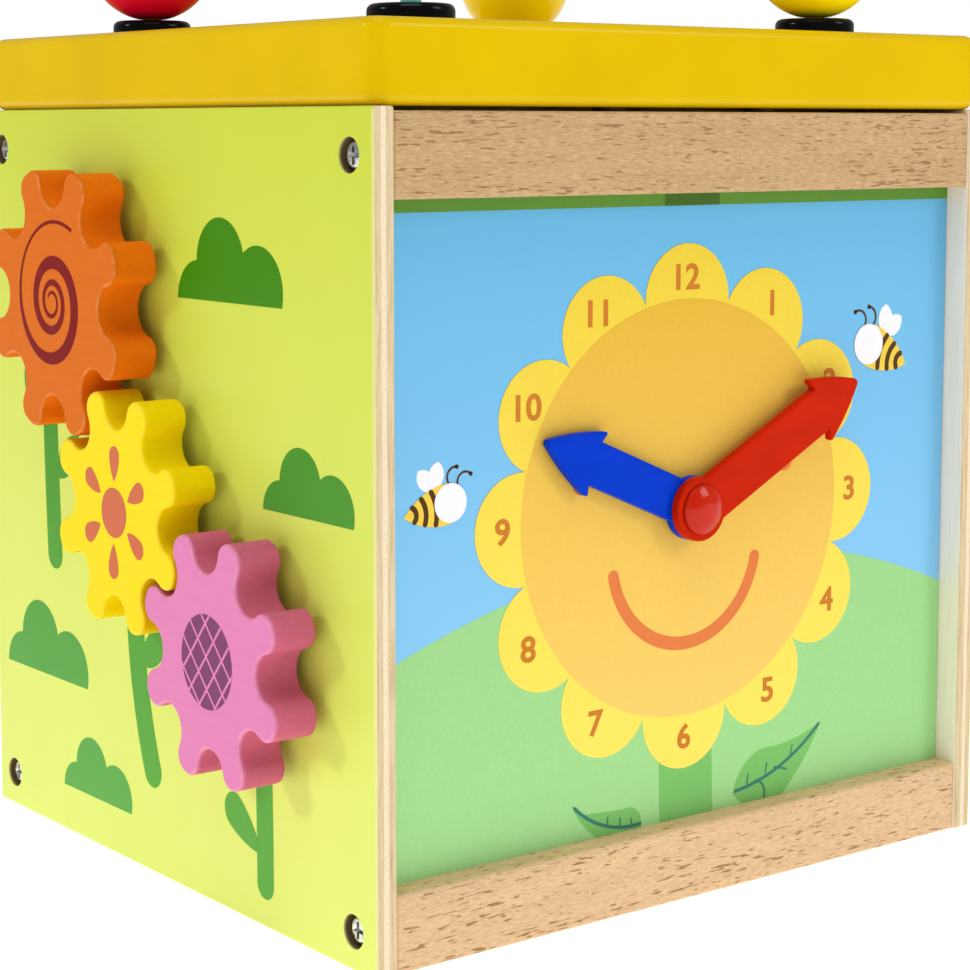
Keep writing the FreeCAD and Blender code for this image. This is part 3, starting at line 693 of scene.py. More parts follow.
def satin_paint(name, tint, edge_tint, face):
    """Dipped satin paint on a sawn wheel: soft sheen, an edge colour set apart from the face's as painted
    light and shade, rims lightened by paint rubbing off and by a painted highlight.
    """
    material, tree, shader = surface(name, 0.42, ior=1.48, specular=0.06)
    grain = pattern(tree, (2.6, 16, 0.9), detail=4, roughness=0.6)
    front = fade(tree, grain, 0.25, 0.75, shade(tint, 0.96), shade(tint, 1.03))
    side = fade(tree, grain, 0.25, 0.75, shade(edge_tint, 0.94), shade(edge_tint, 1.05))
    inward = add(tree, "Math", [own_place(tree)["X"], face], operation="SUBTRACT")
    # Painted light and shade: the edge gets its own colour, set apart from the face's as the lamps light
    # the two differently.
    base = fade(tree, inward, 0.4 * MM, 1.3 * MM, front, side)
    edge = add(tree, "MapRange", [inward, 0.6 * MM, 0.25 * MM])
    off_face = add(tree, "MapRange", [inward, 0.01 * MM, 0.06 * MM])
    rim_patchiness = add(tree, "MapRange", [pattern(tree, (5, 3, 3), detail=4), 0.42, 0.62, 0.15, 0.8])
    # Painted highlight and paint rubbing off: a lighter line along the face's rims, broken into patches.
    wear_and_highlight = add(tree, "Math", [edge, off_face], operation="MULTIPLY")
    wear_and_highlight = add(tree, "Math", [wear_and_highlight, rim_patchiness], operation="MULTIPLY")
    base = add(tree, "Mix", [wear_and_highlight, base, rim_tint(tint)], data_type="RGBA")
    bump = add(tree, "Bump", {"Height": grain, "Strength": 0.12, "Distance": 0.06 * MM})
    gloss = patches(tree, (6, 6, 6), 0.36, 0.5, 3)
    feed(tree, shader, {"Base Color": base, "Roughness": gloss, "Normal": bump})
    return material


def moulded_plastic(name, tint, specular=0.03, roughness=0.16):
    """Injection-moulded ABS: even colour, polished tool marks too fine to see but as soft haze."""
    material, tree, shader = surface(name, roughness, ior=1.53, specular=specular)
    base = fade(tree, pattern(tree, (14, 14, 5)), 0.3, 0.7, shade(tint, 0.94), shade(tint, 1.05))
    haze = patches(tree, (3, 3, 3), roughness - 0.05, roughness + 0.07, 4)
    grit = pattern(tree, (0.9, 0.9, 0.9), detail=1)
    bump = add(tree, "Bump", {"Height": grit, "Strength": 0.08, "Distance": 0.03 * MM})
    feed(tree, shader, {"Base Color": base, "Roughness": haze, "Normal": bump})
    return material


def sleeve(name, tint):
    """Extruded soft plastic sleeve: low sheen with faint draw lines along the wire."""
    material, tree, shader = surface(name, 0.32, ior=1.49)
    cloud = pattern(tree, (7, 7, 40), detail=3)
    base = fade(tree, cloud, 0.3, 0.7, shade(tint, 0.93), shade(tint, 1.05))
    lines = pattern(tree, (0.7, 0.7, 30), detail=1)
    bump = add(tree, "Bump", {"Height": lines, "Strength": 0.12, "Distance": 0.04 * MM})
    feed(tree, shader, {"Base Color": base, "Normal": bump})
    return material


def ink(name, low_tint, high_tint=None, low=0.0, high=0.2):
    """Screen ink under satin varnish: flat colour that may darken with height, partly as print and partly
    as painted shade, faint dot mottle.
    """
    material, tree, shader = surface(name, 0.4, ior=1.47, specular=0.07)
    top = low_tint if high_tint is None else high_tint
    base = fade(tree, own_place(tree)["Z"], low, high, low_tint, top)
    mottle = pattern(tree, (1.1, 1.1, 1.1), detail=3)
    base = fade(tree, mottle, 0.35, 0.65, base, srgb("#000000"), 0.03)
    grain = pattern(tree, (3, 3, 26), detail=3)
    bump = add(tree, "Bump", {"Height": grain, "Strength": 0.015, "Distance": 0.05 * MM})
    gloss = patches(tree, (12, 12, 12), 0.34, 0.46)
    feed(tree, shader, {"Base Color": base, "Roughness": gloss, "Normal": bump})
    return material


def birch_colour(tree, colours, long_axis):
    """Birch: pale cream ground with fine darker streaks along one axis; returns the streaks too."""
    size = [0.7, 0.7, 0.7]
    size["XYZ".index(long_axis)] = 16
    streak = pattern(tree, size, detail=4, roughness=0.6)
    return fade(tree, streak, 0.42, 0.78, colours.birch, colours.birch_streak), streak


def drilled_holes(tree, node, depth, outer):
    """1 in the walls of the four screw holes of a panel, which take painted shade, 0 elsewhere."""
    low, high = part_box(node + "_screws")
    spread = (high - low) / 2 - Vector((0, HEAD_RADIUS, HEAD_RADIUS))
    centre = (0, 0, (low.z + high.z) / 2)
    place = add(tree, "TexCoord").outputs["Object"]
    from_centre = add(tree, "VectorMath", [place, centre], operation="SUBTRACT")
    quarter = add(tree, "VectorMath", [from_centre], operation="ABSOLUTE")
    flat = add(tree, "VectorMath", [quarter, (0, 1, 1)], operation="MULTIPLY")
    off_axis = add(tree, "VectorMath", [flat, (0, spread.y, spread.z)], operation="DISTANCE")
    near_hole = add(tree, "MapRange", [off_axis, SCREW_HOLE + 0.25 * MM, SCREW_HOLE + 0.05 * MM])
    below_face = add(tree, "MapRange", [depth, outer - 0.02 * MM, outer - 0.8 * MM])
    return add(tree, "Math", [near_hole, below_face], operation="MULTIPLY")


def printed_plywood(colours, sizes, node):
    """Three-ply birch panel: printed and varnished outside, bare layered edges, painted shade in the
    drill holes.
    """
    material, tree, shader = surface("printed_birch_plywood", 0.4, ior=1.47, specular=0.2)
    low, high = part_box(node)
    inner, outer = sorted((abs(low.x), abs(high.x)))
    place = own_place(tree)
    depth = add(tree, "Math", [place["X"]], operation="ABSOLUTE")
    wood, streak = birch_colour(tree, colours, "Z")
    fleck = pattern(tree, (0.5, 0.5, 0.5), detail=3)
    core = fade(tree, fleck, 0.4, 0.75, colours.birch_core, shade(colours.birch, 0.95))
    glue = 0.1 * MM
    first, last = inner + sizes.ply, outer - sizes.ply
    after_first = add(tree, "MapRange", [depth, first - glue, first + glue])
    before_last = add(tree, "MapRange", [depth, last + glue, last - glue])
    in_core = add(tree, "Math", [after_first, before_last], operation="MULTIPLY")
    wood = add(tree, "Mix", [in_core, wood, core], data_type="RGBA")
    pale = fade(tree, streak, 0.4, 0.8, colours.inner_face, shade(colours.inner_face, 0.9))
    wood = fade(tree, depth, inner + 0.1 * MM, inner + 0.03 * MM, wood, pale)
    # The print darkens towards the top: partly its own fade, partly painted shade, the floor lighting the
    # bottom more.
    paper = fade(tree, place["Z"], low.z, high.z, colours.lime_low, colours.lime_high)
    cloud = pattern(tree, (14, 14, 60), detail=4)
    paper = fade(tree, cloud, 0.3, 0.7, paper, shade(colours.lime_high, 0.8), 0.07)
    # The pale arris stops short of the top edge, which keeps the print colour there as painted shade
    # under the lid.
    rub_top, rub_end = high.z - sizes.arris, high.z - 1.2 * sizes.arris
    worn_arris_top_shaded = fade(tree, place["Z"], rub_top, rub_end, paper, shade(colours.birch_core, 1.05), 0.38)
    arris = outer - sizes.arris
    wood = fade(tree, depth, arris - 0.1 * MM, arris + 0.05 * MM, wood, worn_arris_top_shaded)
    printed = add(tree, "MapRange", [depth, outer - 0.06 * MM, outer - 0.02 * MM])
    base = add(tree, "Mix", [printed, wood, paper], data_type="RGBA")
    # Painted shade: the walls of the screw holes turn dark brown.
    drilled = drilled_holes(tree, node, depth, outer)
    base = add(tree, "Mix", [drilled, base, colours.drilled], data_type="RGBA")
    gloss = add(tree, "MapRange", [printed, 0.0, 1.0, 0.62, 0.38])
    bump = add(tree, "Bump", {"Height": streak, "Strength": 0.12, "Distance": 0.08 * MM})
    feed(tree, shader, {"Base Color": base, "Roughness": gloss, "Normal": bump})
    return material


def printed_board(colours, node):
    """Plywood board: sky printed on its front under satin varnish, bare birch elsewhere."""
    material, tree, shader = surface("printed_clock_board", 0.36, ior=1.47, specular=0.15)
    low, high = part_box(node)
    place = own_place(tree)
    # The sky darkens towards the top: partly the print's own fade, partly painted shade.
    sky = fade(tree, place["Z"], low.z + 50 * MM, high.z, colours.sky_low, colours.sky_high)
    wood, streak = birch_colour(tree, colours, "X")
    base = fade(tree, place["Y"], low.y + 0.06 * MM, low.y + 0.02 * MM, wood, sky)
    bump = add(tree, "Bump", {"Height": streak, "Strength": 0.06, "Distance": 0.06 * MM})
    gloss = patches(tree, (12, 12, 12), 0.3, 0.42)
    feed(tree, shader, {"Base Color": base, "Roughness": gloss, "Normal": bump})
    return material


def varnished_beech(colours):
    """Planed, satin-varnished beech: tan, with painted shade darkening the top rails, short dark flecks
    along the grain.
    """
    material, tree, shader = surface("varnished_beech", 0.45, ior=1.48)
    tone = pattern(tree, (60, 7, 5), detail=3)
    tints = [(shade(tint, 0.94), shade(tint, 1.07)) for tint in (colours.beech, colours.beech_dark)]
    low_rail, shaded_high_rail = (fade(tree, tone, 0.3, 0.7, *pair) for pair in tints)
    fibre = pattern(tree, (2.4, 0.5, 0.45), detail=4, roughness=0.65)
    # Painted shade: the ground darkens from 90 to 110 mm up, over the top rails under the lid.
    ground = fade(tree, own_place(tree)["Z"], 90 * MM, 110 * MM, low_rail, shaded_high_rail)
    ground = fade(tree, fibre, 0.45, 0.75, ground, colours.beech_fleck, 0.42)
    ground = fade(tree, fibre, 0.5, 0.25, ground, shade(colours.beech, 1.22), 0.35)
    rays = pattern(tree, (4.2, 0.7, 0.55), detail=1, roughness=0.4, lean=(0, math.radians(-3), 0))
    rays = add(tree, "Math", [rays, patches(tree, (25, 9, 8), -0.04, 0.04, 1)], operation="ADD")
    fleck = add(tree, "MapRange", [rays, 0.645, 0.7, 0.0, 0.85])
    base = add(tree, "Mix", [fleck, ground, colours.beech_fleck], data_type="RGBA")
    grain = add(tree, "Math", [fibre, fleck], operation="SUBTRACT")
    bump = add(tree, "Bump", {"Height": grain, "Strength": 0.22, "Distance": 0.1 * MM})
    feed(tree, shader, {"Base Color": base, "Normal": bump})
    return material


def bare_birch(name, colours, long_axis, shade_share=0.0):
    """Sanded, unvarnished birch: matt cream with fine streaks, darkened towards near black by a share of
    painted shade.
    """
    material, tree, shader = surface(name, 0.62, ior=1.46)
    wood, streak = birch_colour(tree, colours, long_axis)
    wood = add(tree, "Mix", [shade_share, wood, srgb("#1E1408")], data_type="RGBA")
    bump = add(tree, "Bump", {"Height": streak, "Strength": 0.2, "Distance": 0.1 * MM})
    feed(tree, shader, {"Base Color": wood, "Normal": bump})
    return material


def satin_white(colours):
    """Brushed satin white on the tiles: warm white, soft sheen, faint grain under it."""
    material, tree, shader = surface("white_satin_paint", 0.4, ior=1.48)
    grain = pattern(tree, (18, 1.2, 1.2), detail=4, roughness=0.6)
    tint = colours.white_enamel
    base = fade(tree, grain, 0.3, 0.7, shade(tint, 0.93), tint)
    bump = add(tree, "Bump", {"Height": grain, "Strength": 0.18, "Distance": 0.06 * MM})
    feed(tree, shader, {"Base Color": base, "Normal": bump})
    return material


def plated_steel(colours):
    """Zinc-plated steel: soft metallic shine, duller in patches."""
    material, tree, shader = surface("zinc_plated_steel", 0.2, metallic=1.0, specular=0.5)
    cloud = pattern(tree, (1.4, 1.4, 1.4), detail=4)
    base = fade(tree, cloud, 0.4, 0.7, colours.zinc, shade(colours.zinc, 0.55))
    gloss = add(tree, "MapRange", [cloud, 0.3, 0.7, 0.12, 0.28])
    bump = add(tree, "Bump", {"Height": cloud, "Strength": 0.15, "Distance": 0.05 * MM})
    feed(tree, shader, {"Base Color": base, "Roughness": gloss, "Normal": bump})
    return material


def lit_acrylic(tint, glow):
    """Matt white acrylic table lit from below, so that it stays white under the object."""
    material, tree, shader = surface("lit_matt_acrylic", 0.9)
    fibre = pattern(tree, (40, 40, 40), detail=3)
    base = fade(tree, fibre, 0.3, 0.7, shade(tint, 0.99), tint)
    feed(tree, shader, {"Base Color": base, "Emission Color": tint, "Emission Strength": glow})
    return material


def paint_node(node, material):
    """Give a CAD node one material in all its slots."""
    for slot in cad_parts[node].material_slots:
        slot.material = material


def shared(name, make, *values):
    """Material of that name, made once."""
    return bpy.data.materials.get(name) or make(name, *values)


# --- Operators ------------------------------------------------------------------------


class CubeOperator:
    """What the cube's operators share."""

    bl_options = {"REGISTER", "UNDO"}

    def execute(self, context):
        self.build(context.scene.cube_sizes, context.scene.cube_colours)
        return {"FINISHED"}


class CUBE_OT_stage(bpy.types.Operator):
    """Pale floor, soft studio light and the camera"""

    bl_idname = "cube.stage"
    bl_label = "Stage"

    def execute(self, context):
        stage = context.scene.cube_stage
        scene = context.scene
        scene.view_settings.view_transform = "Standard"
        bm = bmesh.new()
        bmesh.ops.create_circle(bm, cap_ends=True, radius=stage.floor_size, segments=96)
        mesh = bpy.data.meshes.new("floor")
        bm.to_mesh(mesh)
        bm.free()
        mesh.materials.append(lit_acrylic(stage.floor_white, stage.floor_glow))
        floor = bpy.data.objects.new("floor", mesh)
        scene.collection.objects.link(floor)
        world = bpy.data.worlds.new("studio")
        world.use_nodes = True
        tree = world.node_tree
        backdrop = add(tree, "LightPath")
        seen = backdrop.outputs["Is Camera Ray"]
        strength = add(tree, "MapRange", [seen, 0.0, 1.0, stage.sky_light, 1.0])
        feed(tree, tree.nodes["Background"], {"Color": srgb("#FFFFFF"), "Strength": strength})
        scene.world = world
        target = Vector((0, 0, 110 * MM))
        self.lamp("side_lamp", target, Vector((-1.0, 0.40, 0.45)), 2.0, 0.22, stage.side_light)
        self.lamp("front_lamp", target, Vector((0.75, -1.0, 0.65)), 2.0, 0.7, stage.front_light)
        self.lamp("top_lamp", target, Vector((-0.2, -0.25, 1.0)), 1.8, 1.0, stage.top_light)
        self.camera(scene, stage)
        return {"FINISHED"}

    def lamp(self, name, target, direction, distance, size, power):
        """Square area lamp that looks at a point."""
        data = bpy.data.lights.new(name, "AREA")
        data.size = size
        data.energy = power
        lamp = bpy.data.objects.new(name, data)
        lamp.location = target + direction.normalized() * distance
        lamp.rotation_euler = (target - lamp.location).to_track_quat("-Z", "Y").to_euler()
        bpy.context.scene.collection.objects.link(lamp)

    def camera(self, scene, stage):
        """Camera that looks slightly down at the corner between the gears and the clock."""
        data = bpy.data.cameras.new("camera")
        data.lens = stage.lens
        data.shift_y = stage.shift
        camera = bpy.data.objects.new("camera", data)
        camera.location = stage.camera_place
        camera.rotation_euler = (math.pi / 2 - stage.camera_tilt, 0, -stage.camera_turn)
        scene.collection.objects.link(camera)
        scene.camera = camera


class CUBE_OT_case(CubeOperator, bpy.types.Operator):
    """Panels, rails, boards and turned inner parts of the case"""

    bl_idname = "cube.case"
    bl_label = "Case"

    def build(self, sizes, colours):
        rails = [side + level for side in ("front", "back") for level in ("_top_rail", "_bottom_rail")]
        black = shared("black_moulded_plastic", moulded_plastic, colours.black_plastic, 0.1)
        finishes = {
            printed_plywood(colours, sizes, "left_panel"): ["left_panel", "right_panel"],
            varnished_beech(colours): rails,
            printed_board(colours, "clock_board"): ["clock_board"],
            bare_birch("sanded_birch_board", colours, "X"): ["back_board", "base_board"],
            # The lid's dowels sit in a dark gap; their near-black tint is painted shade.
            bare_birch("glue_darkened_dowel", colours, "Z", 0.9): ["lid_dowels"],
            plated_steel(colours): ["clock_nut"],
            black: ["clock_washer"],
        }
        for material, nodes in finishes.items():
            for node in nodes:
                paint_node(node, material)
        peg = bare_birch("birch_dowel", colours, "X")
        turned_parts = ("axle", "collar", "spacer", "stem", "rod")
        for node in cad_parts:
            if any(part in node for part in turned_parts):
                paint_node(node, peg)


class CUBE_OT_screws(CubeOperator, bpy.types.Operator):
    """Cross-head screws sunk in the panels' corners"""

    bl_idname = "cube.screws"
    bl_label = "Screws"

    def build(self, sizes, colours):
        head = HEAD_RADIUS
        steel = bpy.data.materials["zinc_plated_steel"]
        for side, out in (("left", LEFT), ("right", RIGHT)):
            node = side + "_panel_screws"
            low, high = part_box(node)
            face = low.x if out.x < 0 else high.x
            bm = bmesh.new()
            for y in (low.y + head, high.y - head):
                for z in (low.z + head, high.z - head):
                    self.screw(bm, facing(out, (face, y, z)), head, high.x - low.x)
            piece(bm, side + "_screws", "root", steel, [node])

    def screw(self, whole, place, head, reach):
        """Raised head with a tapered cross recess, on a pointed shank."""
        bm = bmesh.new()
        land = 2.6 * MM
        arm, half = 2.1 * MM, 0.5 * MM
        corners = [(arm, -half), (arm, half), (half, half)]
        turns = [Matrix.Rotation(math.radians(90 * k), 2) for k in range(4)]
        cross = trace(bm, *polygon(*(turn @ Vector(c) for turn in turns for c in corners)))
        circle = bmesh.ops.create_circle(bm, radius=land, segments=HOLE_SEGMENTS)
        ring = list({e for v in circle["verts"] for e in v.link_edges})
        bmesh.ops.triangle_fill(bm, use_beauty=True, edges=cross + ring)
        floor = push(bm, cross, UP * (-1.5 * MM), scale=0.6)
        bmesh.ops.edgeloop_fill(bm, edges=floor)
        radius = land
        depth = 0.0
        end = reach / MM
        steps = [(3.0, 0.2), (3.3, 0.6), (3.5, 1.2), (3.5, 3.0), (1.7, 3.2), (1.7, end - 4), (0.2, end)]
        for wide, deep in steps:
            ring = push(bm, ring, UP * (depth - deep * MM), scale=wide * MM / radius)
            radius = wide * MM
            depth = deep * MM
        bmesh.ops.edgeloop_fill(bm, edges=ring)
        bm.transform(place @ Matrix.Translation(UP * MM))
        absorb(whole, bm)


class CUBE_OT_lid(CubeOperator, bpy.types.Operator):
    """Thick round-edged lid in gloss enamel"""

    bl_idname = "cube.lid"
    bl_label = "Lid"

    def build(self, sizes, colours):
        low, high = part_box("lid")
        corner = sizes.lid_corner
        bm = bmesh.new()
        x, y = high.x, high.y
        bend = corner * ARC_MIDDLE
        outline(bm, (x - corner, -y), [
            ((x - bend, -y + bend), (x, -y + corner)),
            ((x, y - corner),),
            ((x - bend, y - bend), (x - corner, y)),
            ((-x + corner, y),),
            ((-x + bend, y - bend), (-x, y - corner)),
            ((-x, -y + corner),),
            ((-x + bend, -y + bend), (-x + corner, -y)),
            ((x - corner, -y),),
        ])
        thicken(bm, bm.faces[:], high.z - low.z)
        soften(bm, rim(bm, 0) + rim(bm, high.z - low.z), sizes.lid_edge, 6)
        bm.transform(Matrix.Translation((0, 0, low.z)))
        enamel = gloss_enamel("lid_gloss_enamel", colours.lid_enamel)
        piece(bm, "lid_board", "root", enamel, ["lid"])


class CUBE_OT_gear_wall(CubeOperator, bpy.types.Operator):
    """Bushes and flower stalks printed on the gear panel"""

    bl_idname = "cube.gear_wall"
    bl_label = "Gear wall print"

    def build(self, sizes, colours):
        face = facing(LEFT, (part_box("left_panel")[0].x, 0, 0))
        green = ink("bush_green_ink", colours.bush_low, colours.bush_high, 15 * MM, 155 * MM)
        places = (
            ((10.2, 150.5), 1.0),
            ((48.6, 102.5), 0.8),
            ((-87.8, 41.8), 0.99),
            ((-55.2, 12.7), 0.79),
        )
        bushes = [moved(bush(), at, scale) for at, scale in places]
        print_shapes("bush_print", "root", face, 1, green, bushes)
        leaf = ink("stalk_green_ink", colours.stalk_low, colours.stalk_high, 20 * MM, 110 * MM)
        stalks = [
            bow((-59.6, 140), (-59.0, 100), (-58.0, 76.4), 8.2),
            bow((-13.0, 90), (-12.6, 52), (-6.0, 27.0), 8.8),
            bow((47.2, 60), (47.9, 32), (48.0, 10.7), 7.4),
        ]
        print_shapes("stalk_print", "root", face, 1, leaf, stalks)
        leaves = [
            oval((-68.0, 118.5), 9.5, 4.2, 130),
            oval((-49.5, 104.0), 9.0, 4.2, 45),
            oval((-4.2, 59.5), 8.5, 4.2, 40),
            moved(drop(0, 19.5, 9.0), (46.5, 17.6), degrees=146),
        ]
        print_shapes("stalk_leaf_print", "root", face, 2, leaf, leaves)


class CUBE_OT_gears(CubeOperator, bpy.types.Operator):
    """Painted gears with their printed flowers"""

    bl_idname = "cube.gears"
    bl_label = "Gears"

    def build(self, sizes, colours):
        prints = {"orange": self.spiral, "yellow": self.flower, "pink": self.seeds}
        for name, size in (("orange", "large"), ("yellow", "small"), ("pink", "small")):
            node = name + "_gear"
            low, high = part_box(node)
            centre = middle(node + "_axle")
            face = facing(LEFT, (low.x, centre.y, centre.z))
            turn = Matrix.Rotation(-getattr(sizes, name + "_turn"), 4, "Z")
            radii = [getattr(sizes, size + part) for part in ("_tip", "_root", "_notch")]
            bm = bmesh.new()
            self.wheel(bm, sizes, *radii)
            thicken(bm, bm.faces[:], low.x - high.x)
            soften(bm, rim(bm, 0) + rim(bm, low.x - high.x), sizes.gear_edge)
            bmesh.ops.recalc_face_normals(bm, faces=bm.faces)
            axle_low, axle_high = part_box(node + "_axle")
            socket(bm, low.x - high.x, -1, (axle_high.z - axle_low.z) / 2, sizes.gear_socket)
            bm.transform(face @ turn)
            tints = [getattr(colours, name + part) for part in ("_paint", "_edge")]
            paint = satin_paint(name + "_satin_paint", *tints, low.x)
            piece(bm, name + "_wheel", name + "_gear_set", paint, [node])
            prints[name](colours, name + "_gear_set", face @ turn)

    def wheel(self, bm, sizes, tip, root, notch):
        """Flat outline with a notch up: notch arcs, leaning flanks, round corners, crests."""
        flare, corner = sizes.notch_flare, sizes.tooth_corner
        normal = Vector((-math.sin(flare), math.cos(flare)))
        run = Vector((math.cos(flare), math.sin(flare)))
        flank = Vector((root + notch, 0)) + normal * notch
        inner = flank + normal * corner
        reach = tip - corner
        slide = -inner.dot(run) + math.sqrt(inner.dot(run) ** 2 - inner.length_squared + reach**2)
        centre = inner + run * slide
        flank_end = flank + run * slide
        crest = centre * (tip / reach)
        turn_out = (flank_end - centre).normalized() + (crest - centre).normalized()
        knuckle = centre + turn_out.normalized() * corner
        pitch = math.tau / sizes.teeth

        def at(p, angle):
            return Matrix.Rotation(angle, 2) @ p

        moves = []
        for k in range(sizes.teeth):
            base = math.pi / 2 + k * pitch
            moves += [
                (at(across(knuckle), base), at(across(flank_end), base)),
                (at(across(flank), base),),
                (at(Vector((root, 0)), base), at(flank, base)),
                (at(flank_end, base),),
                (at(knuckle, base), at(crest, base)),
                (at(Vector((tip, 0)), base + pitch / 2), at(across(crest), base + pitch)),
            ]
        outline(bm, at(across(crest), math.pi / 2), moves)

    def spiral(self, colours, body, face):
        """Dark red spiral that thickens as it winds in."""
        bm = bmesh.new()
        first_turn, last_turn, step = 60, 1230, 6

        def spot(degrees, side):
            radius = 20.6 * 0.84 ** ((degrees - 90) / 90)
            rise = min(1.0, max(0.0, (degrees - 120) / 260))
            width = radius * (0.045 + 0.285 * rise * rise * (3 - 2 * rise))
            return (Vector(polar(radius + side * width / 2, degrees)) * MM).to_3d()

        ends = [bm.verts.new(spot(first_turn, side)) for side in (-1, 1)]
        edge = bm.edges.new(ends)
        for degrees in range(first_turn + step, last_turn + 1, step):
            made = bmesh.ops.extrude_edge_only(bm, edges=[edge])["geom"]
            new = [g for g in made if isinstance(g, bmesh.types.BMVert)]
            new.sort(key=lambda v: (v.co - spot(degrees - step, -1)).length)
            for vert, side in zip(new, (-1, 1)):
                vert.co = spot(degrees, side)
            edge = next(e for e in new[0].link_edges if e.other_vert(new[0]) is new[1])
        thicken(bm, bm.faces[:], bpy.context.scene.cube_sizes.ink)
        bm.transform(face)
        red = ink("spiral_red_ink", colours.spiral)
        piece(bm, "spiral_print", body, red)

    def flower(self, colours, body, face):
        """Terracotta dot and six drop-shaped petals."""
        clay = ink("terracotta_ink", colours.terracotta)
        petals = [moved(drop(7.8, 16.8, 5.0), (0, 0), degrees=30 + 60 * k) for k in range(6)]
        print_shapes("flower_print", body, face, 1, clay, [disc((0, 0), 6.3), *petals])

    def seeds(self, colours, body, face):
        """Plum disc crossed by a lattice in the gear's own pink."""
        plum = ink("plum_ink", colours.plum)
        paint = bpy.data.materials["pink_satin_paint"]
        radius, pitch, shift, width, lean = 11.4, 5.25, 0.9, 0.65, 48.4
        print_shapes("seed_disc_print", body, face, 1, plum, [disc((0, 0), radius)])
        lines = []
        for sense in (1, -1):
            for k in range(-3, 3):
                off = k * pitch + shift
                if abs(off) < radius:
                    half = math.sqrt(radius**2 - off**2)
                    under, over = off - width / 2, off + width / 2
                    bar = polygon((-half, under), (half, under), (half, over), (-half, over))
                    lines.append(moved(bar, (0, 0), degrees=sense * lean))
        rise, fall = lines[: len(lines) // 2], lines[len(lines) // 2 :]
        print_shapes("rising_lattice_print", body, face, 2, paint, rise)
        print_shapes("falling_lattice_print", body, face, 3, paint, fall)


class CUBE_OT_clock_print(CubeOperator, bpy.types.Operator):
    """Hill, flower dial, numerals and small insects printed on the clock board"""

    bl_idname = "cube.clock_print"
    bl_label = "Clock print"

    def build(self, sizes, colours):
        low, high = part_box("clock_board")
        self.face = facing(FRONT, (0, low.y, 0))
        left, bottom, right, top = low.x / MM, low.z / MM, high.x / MM, high.z / MM
        self.hill(colours, left, right, bottom, top)
        self.leaves(colours, bottom)
        dial = (-0.4, 97.7)
        self.flower(colours, dial)
        self.numerals(colours, dial)
        self.insects(colours)

    def show(self, name, layer, material, shapes):
        print_shapes(name, "root", self.face, layer, material, shapes)

    def hill(self, colours, left, right, bottom, top):
        """Round hill at the foot and a grass band at the top of the sky."""
        crest, radius = 87.0, 247.0
        edge = crest - radius + math.sqrt(radius**2 - right**2)
        green = ink("hill_green_ink", colours.hill_low, colours.hill_high, 10 * MM, 90 * MM)
        slope = (left, bottom), [
            ((right, bottom),),
            ((right, edge),),
            ((0, crest), (left, edge)),
            ((left, bottom),),
        ]
        self.show("hill_print", 1, green, [slope])
        grass = ink("grass_band_ink", colours.band)
        foot = 173.2
        band = polygon((left, foot), (right, foot), (right, top), (left, top))
        self.show("grass_band_print", 1, grass, [band])
        dark = ink("grass_shadow_ink", shade(colours.band, 0.56))
        shadow = polygon((-8.1, foot), (10, foot), (10, top), (-8.1, top))
        self.show("grass_shadow_print", 2, dark, [shadow])

    def leaves(self, colours, bottom):
        """Stem and two veined leaves that run behind the bottom rail."""
        green = ink("stem_green_ink", colours.stem)
        stem = polygon((-8.2, bottom), (9.8, bottom), (8.9, 45), (-8.9, 45))
        right_leaf = (16.9, 21.8), [
            ((21.3, 29.3), (31.0, 32.0)),
            ((41.0, 33.4), (48.5, 36.0)),
            ((42.6, 27.2), (34.0, 18.4)),
            ((33.0, bottom),),
            ((19.0, bottom),),
            ((19.6, 18.8),),
            ((16.9, 21.8),),
        ]
        left_leaf = (-14.6, 19.4), [
            ((-15.6, 23.0), (-20.0, 24.3)),
            ((-26.0, 24.6), (-33.2, 25.2)),
            ((-37.0, 28.2),),
            ((-33.4, 22.6), (-28.6, 18.4)),
            ((-28.0, bottom),),
            ((-15.0, bottom),),
            ((-14.6, 19.4),),
        ]
        self.show("stem_print", 2, green, [stem, right_leaf, left_leaf])
        dark = ink("vein_ink", colours.vein)
        veins = [
            bow((17.6, 22.3), (30.5, 25.2), (47.6, 35.4), 0.9),
            bow((-36.0, 27.2), (-25.5, 20.9), (-14.8, 19.7), 0.9),
        ]
        ribs = [
            bow((25.0, 24.0), (27.6, 22.0), (28.0, 19.0), 0.6),
            stroke((31.6, 26.4), (36.0, 25.2), 0.5),
            stroke((21.8, 23.6), (22.1, 26.2), 0.4),
            stroke((28.4, 25.4), (28.8, 28.0), 0.4),
            stroke((37.3, 28.6), (38.0, 31.2), 0.4),
            stroke((-17.6, 19.6), (-17.8, 21.6), 0.4),
            stroke((-21.4, 20.2), (-21.4, 22.2), 0.4),
            stroke((-25.6, 21.4), (-25.4, 23.2), 0.4),
        ]
        self.show("vein_print", 3, dark, veins)
        self.show("rib_print", 4, dark, ribs)

    def flower(self, colours, dial):
        """Twelve round petals, a large disc, and a curved line with two dots."""
        petal_radius, ring = 13.8, 52.4
        half_pitch = math.radians(15)
        half_chord = ring * math.sin(half_pitch)
        waist = ring * math.cos(half_pitch) + math.sqrt(petal_radius**2 - half_chord**2)
        moves = []
        for turn in range(90, 450, 30):
            moves.append((polar(ring + petal_radius, turn, dial), polar(waist, turn + 15, dial)))
        low, high = (dial[1] - 66) * MM, (dial[1] + 66) * MM
        yellow = ink("petal_yellow_ink", colours.petal_low, colours.petal_high, low, high)
        self.show("petal_print", 3, yellow, [(polar(waist, 75, dial), moves)])
        amber = ink("dial_amber_ink", colours.dial_low, colours.dial_high, low, high)
        self.show("dial_print", 4, amber, [disc(dial, 52.5)])
        clay = ink("smile_ink", colours.smile)
        middle_of = (dial[0], 87.9)
        arc = [polar(24.2, degrees, middle_of) for degrees in (191.5, 270, 348.5)]
        dots = [disc((dial[0] + side * 34, 107.0), 2.7) for side in (-1, 1)]
        self.show("smile_print", 5, clay, [bow(*arc, 3.4), *dots])

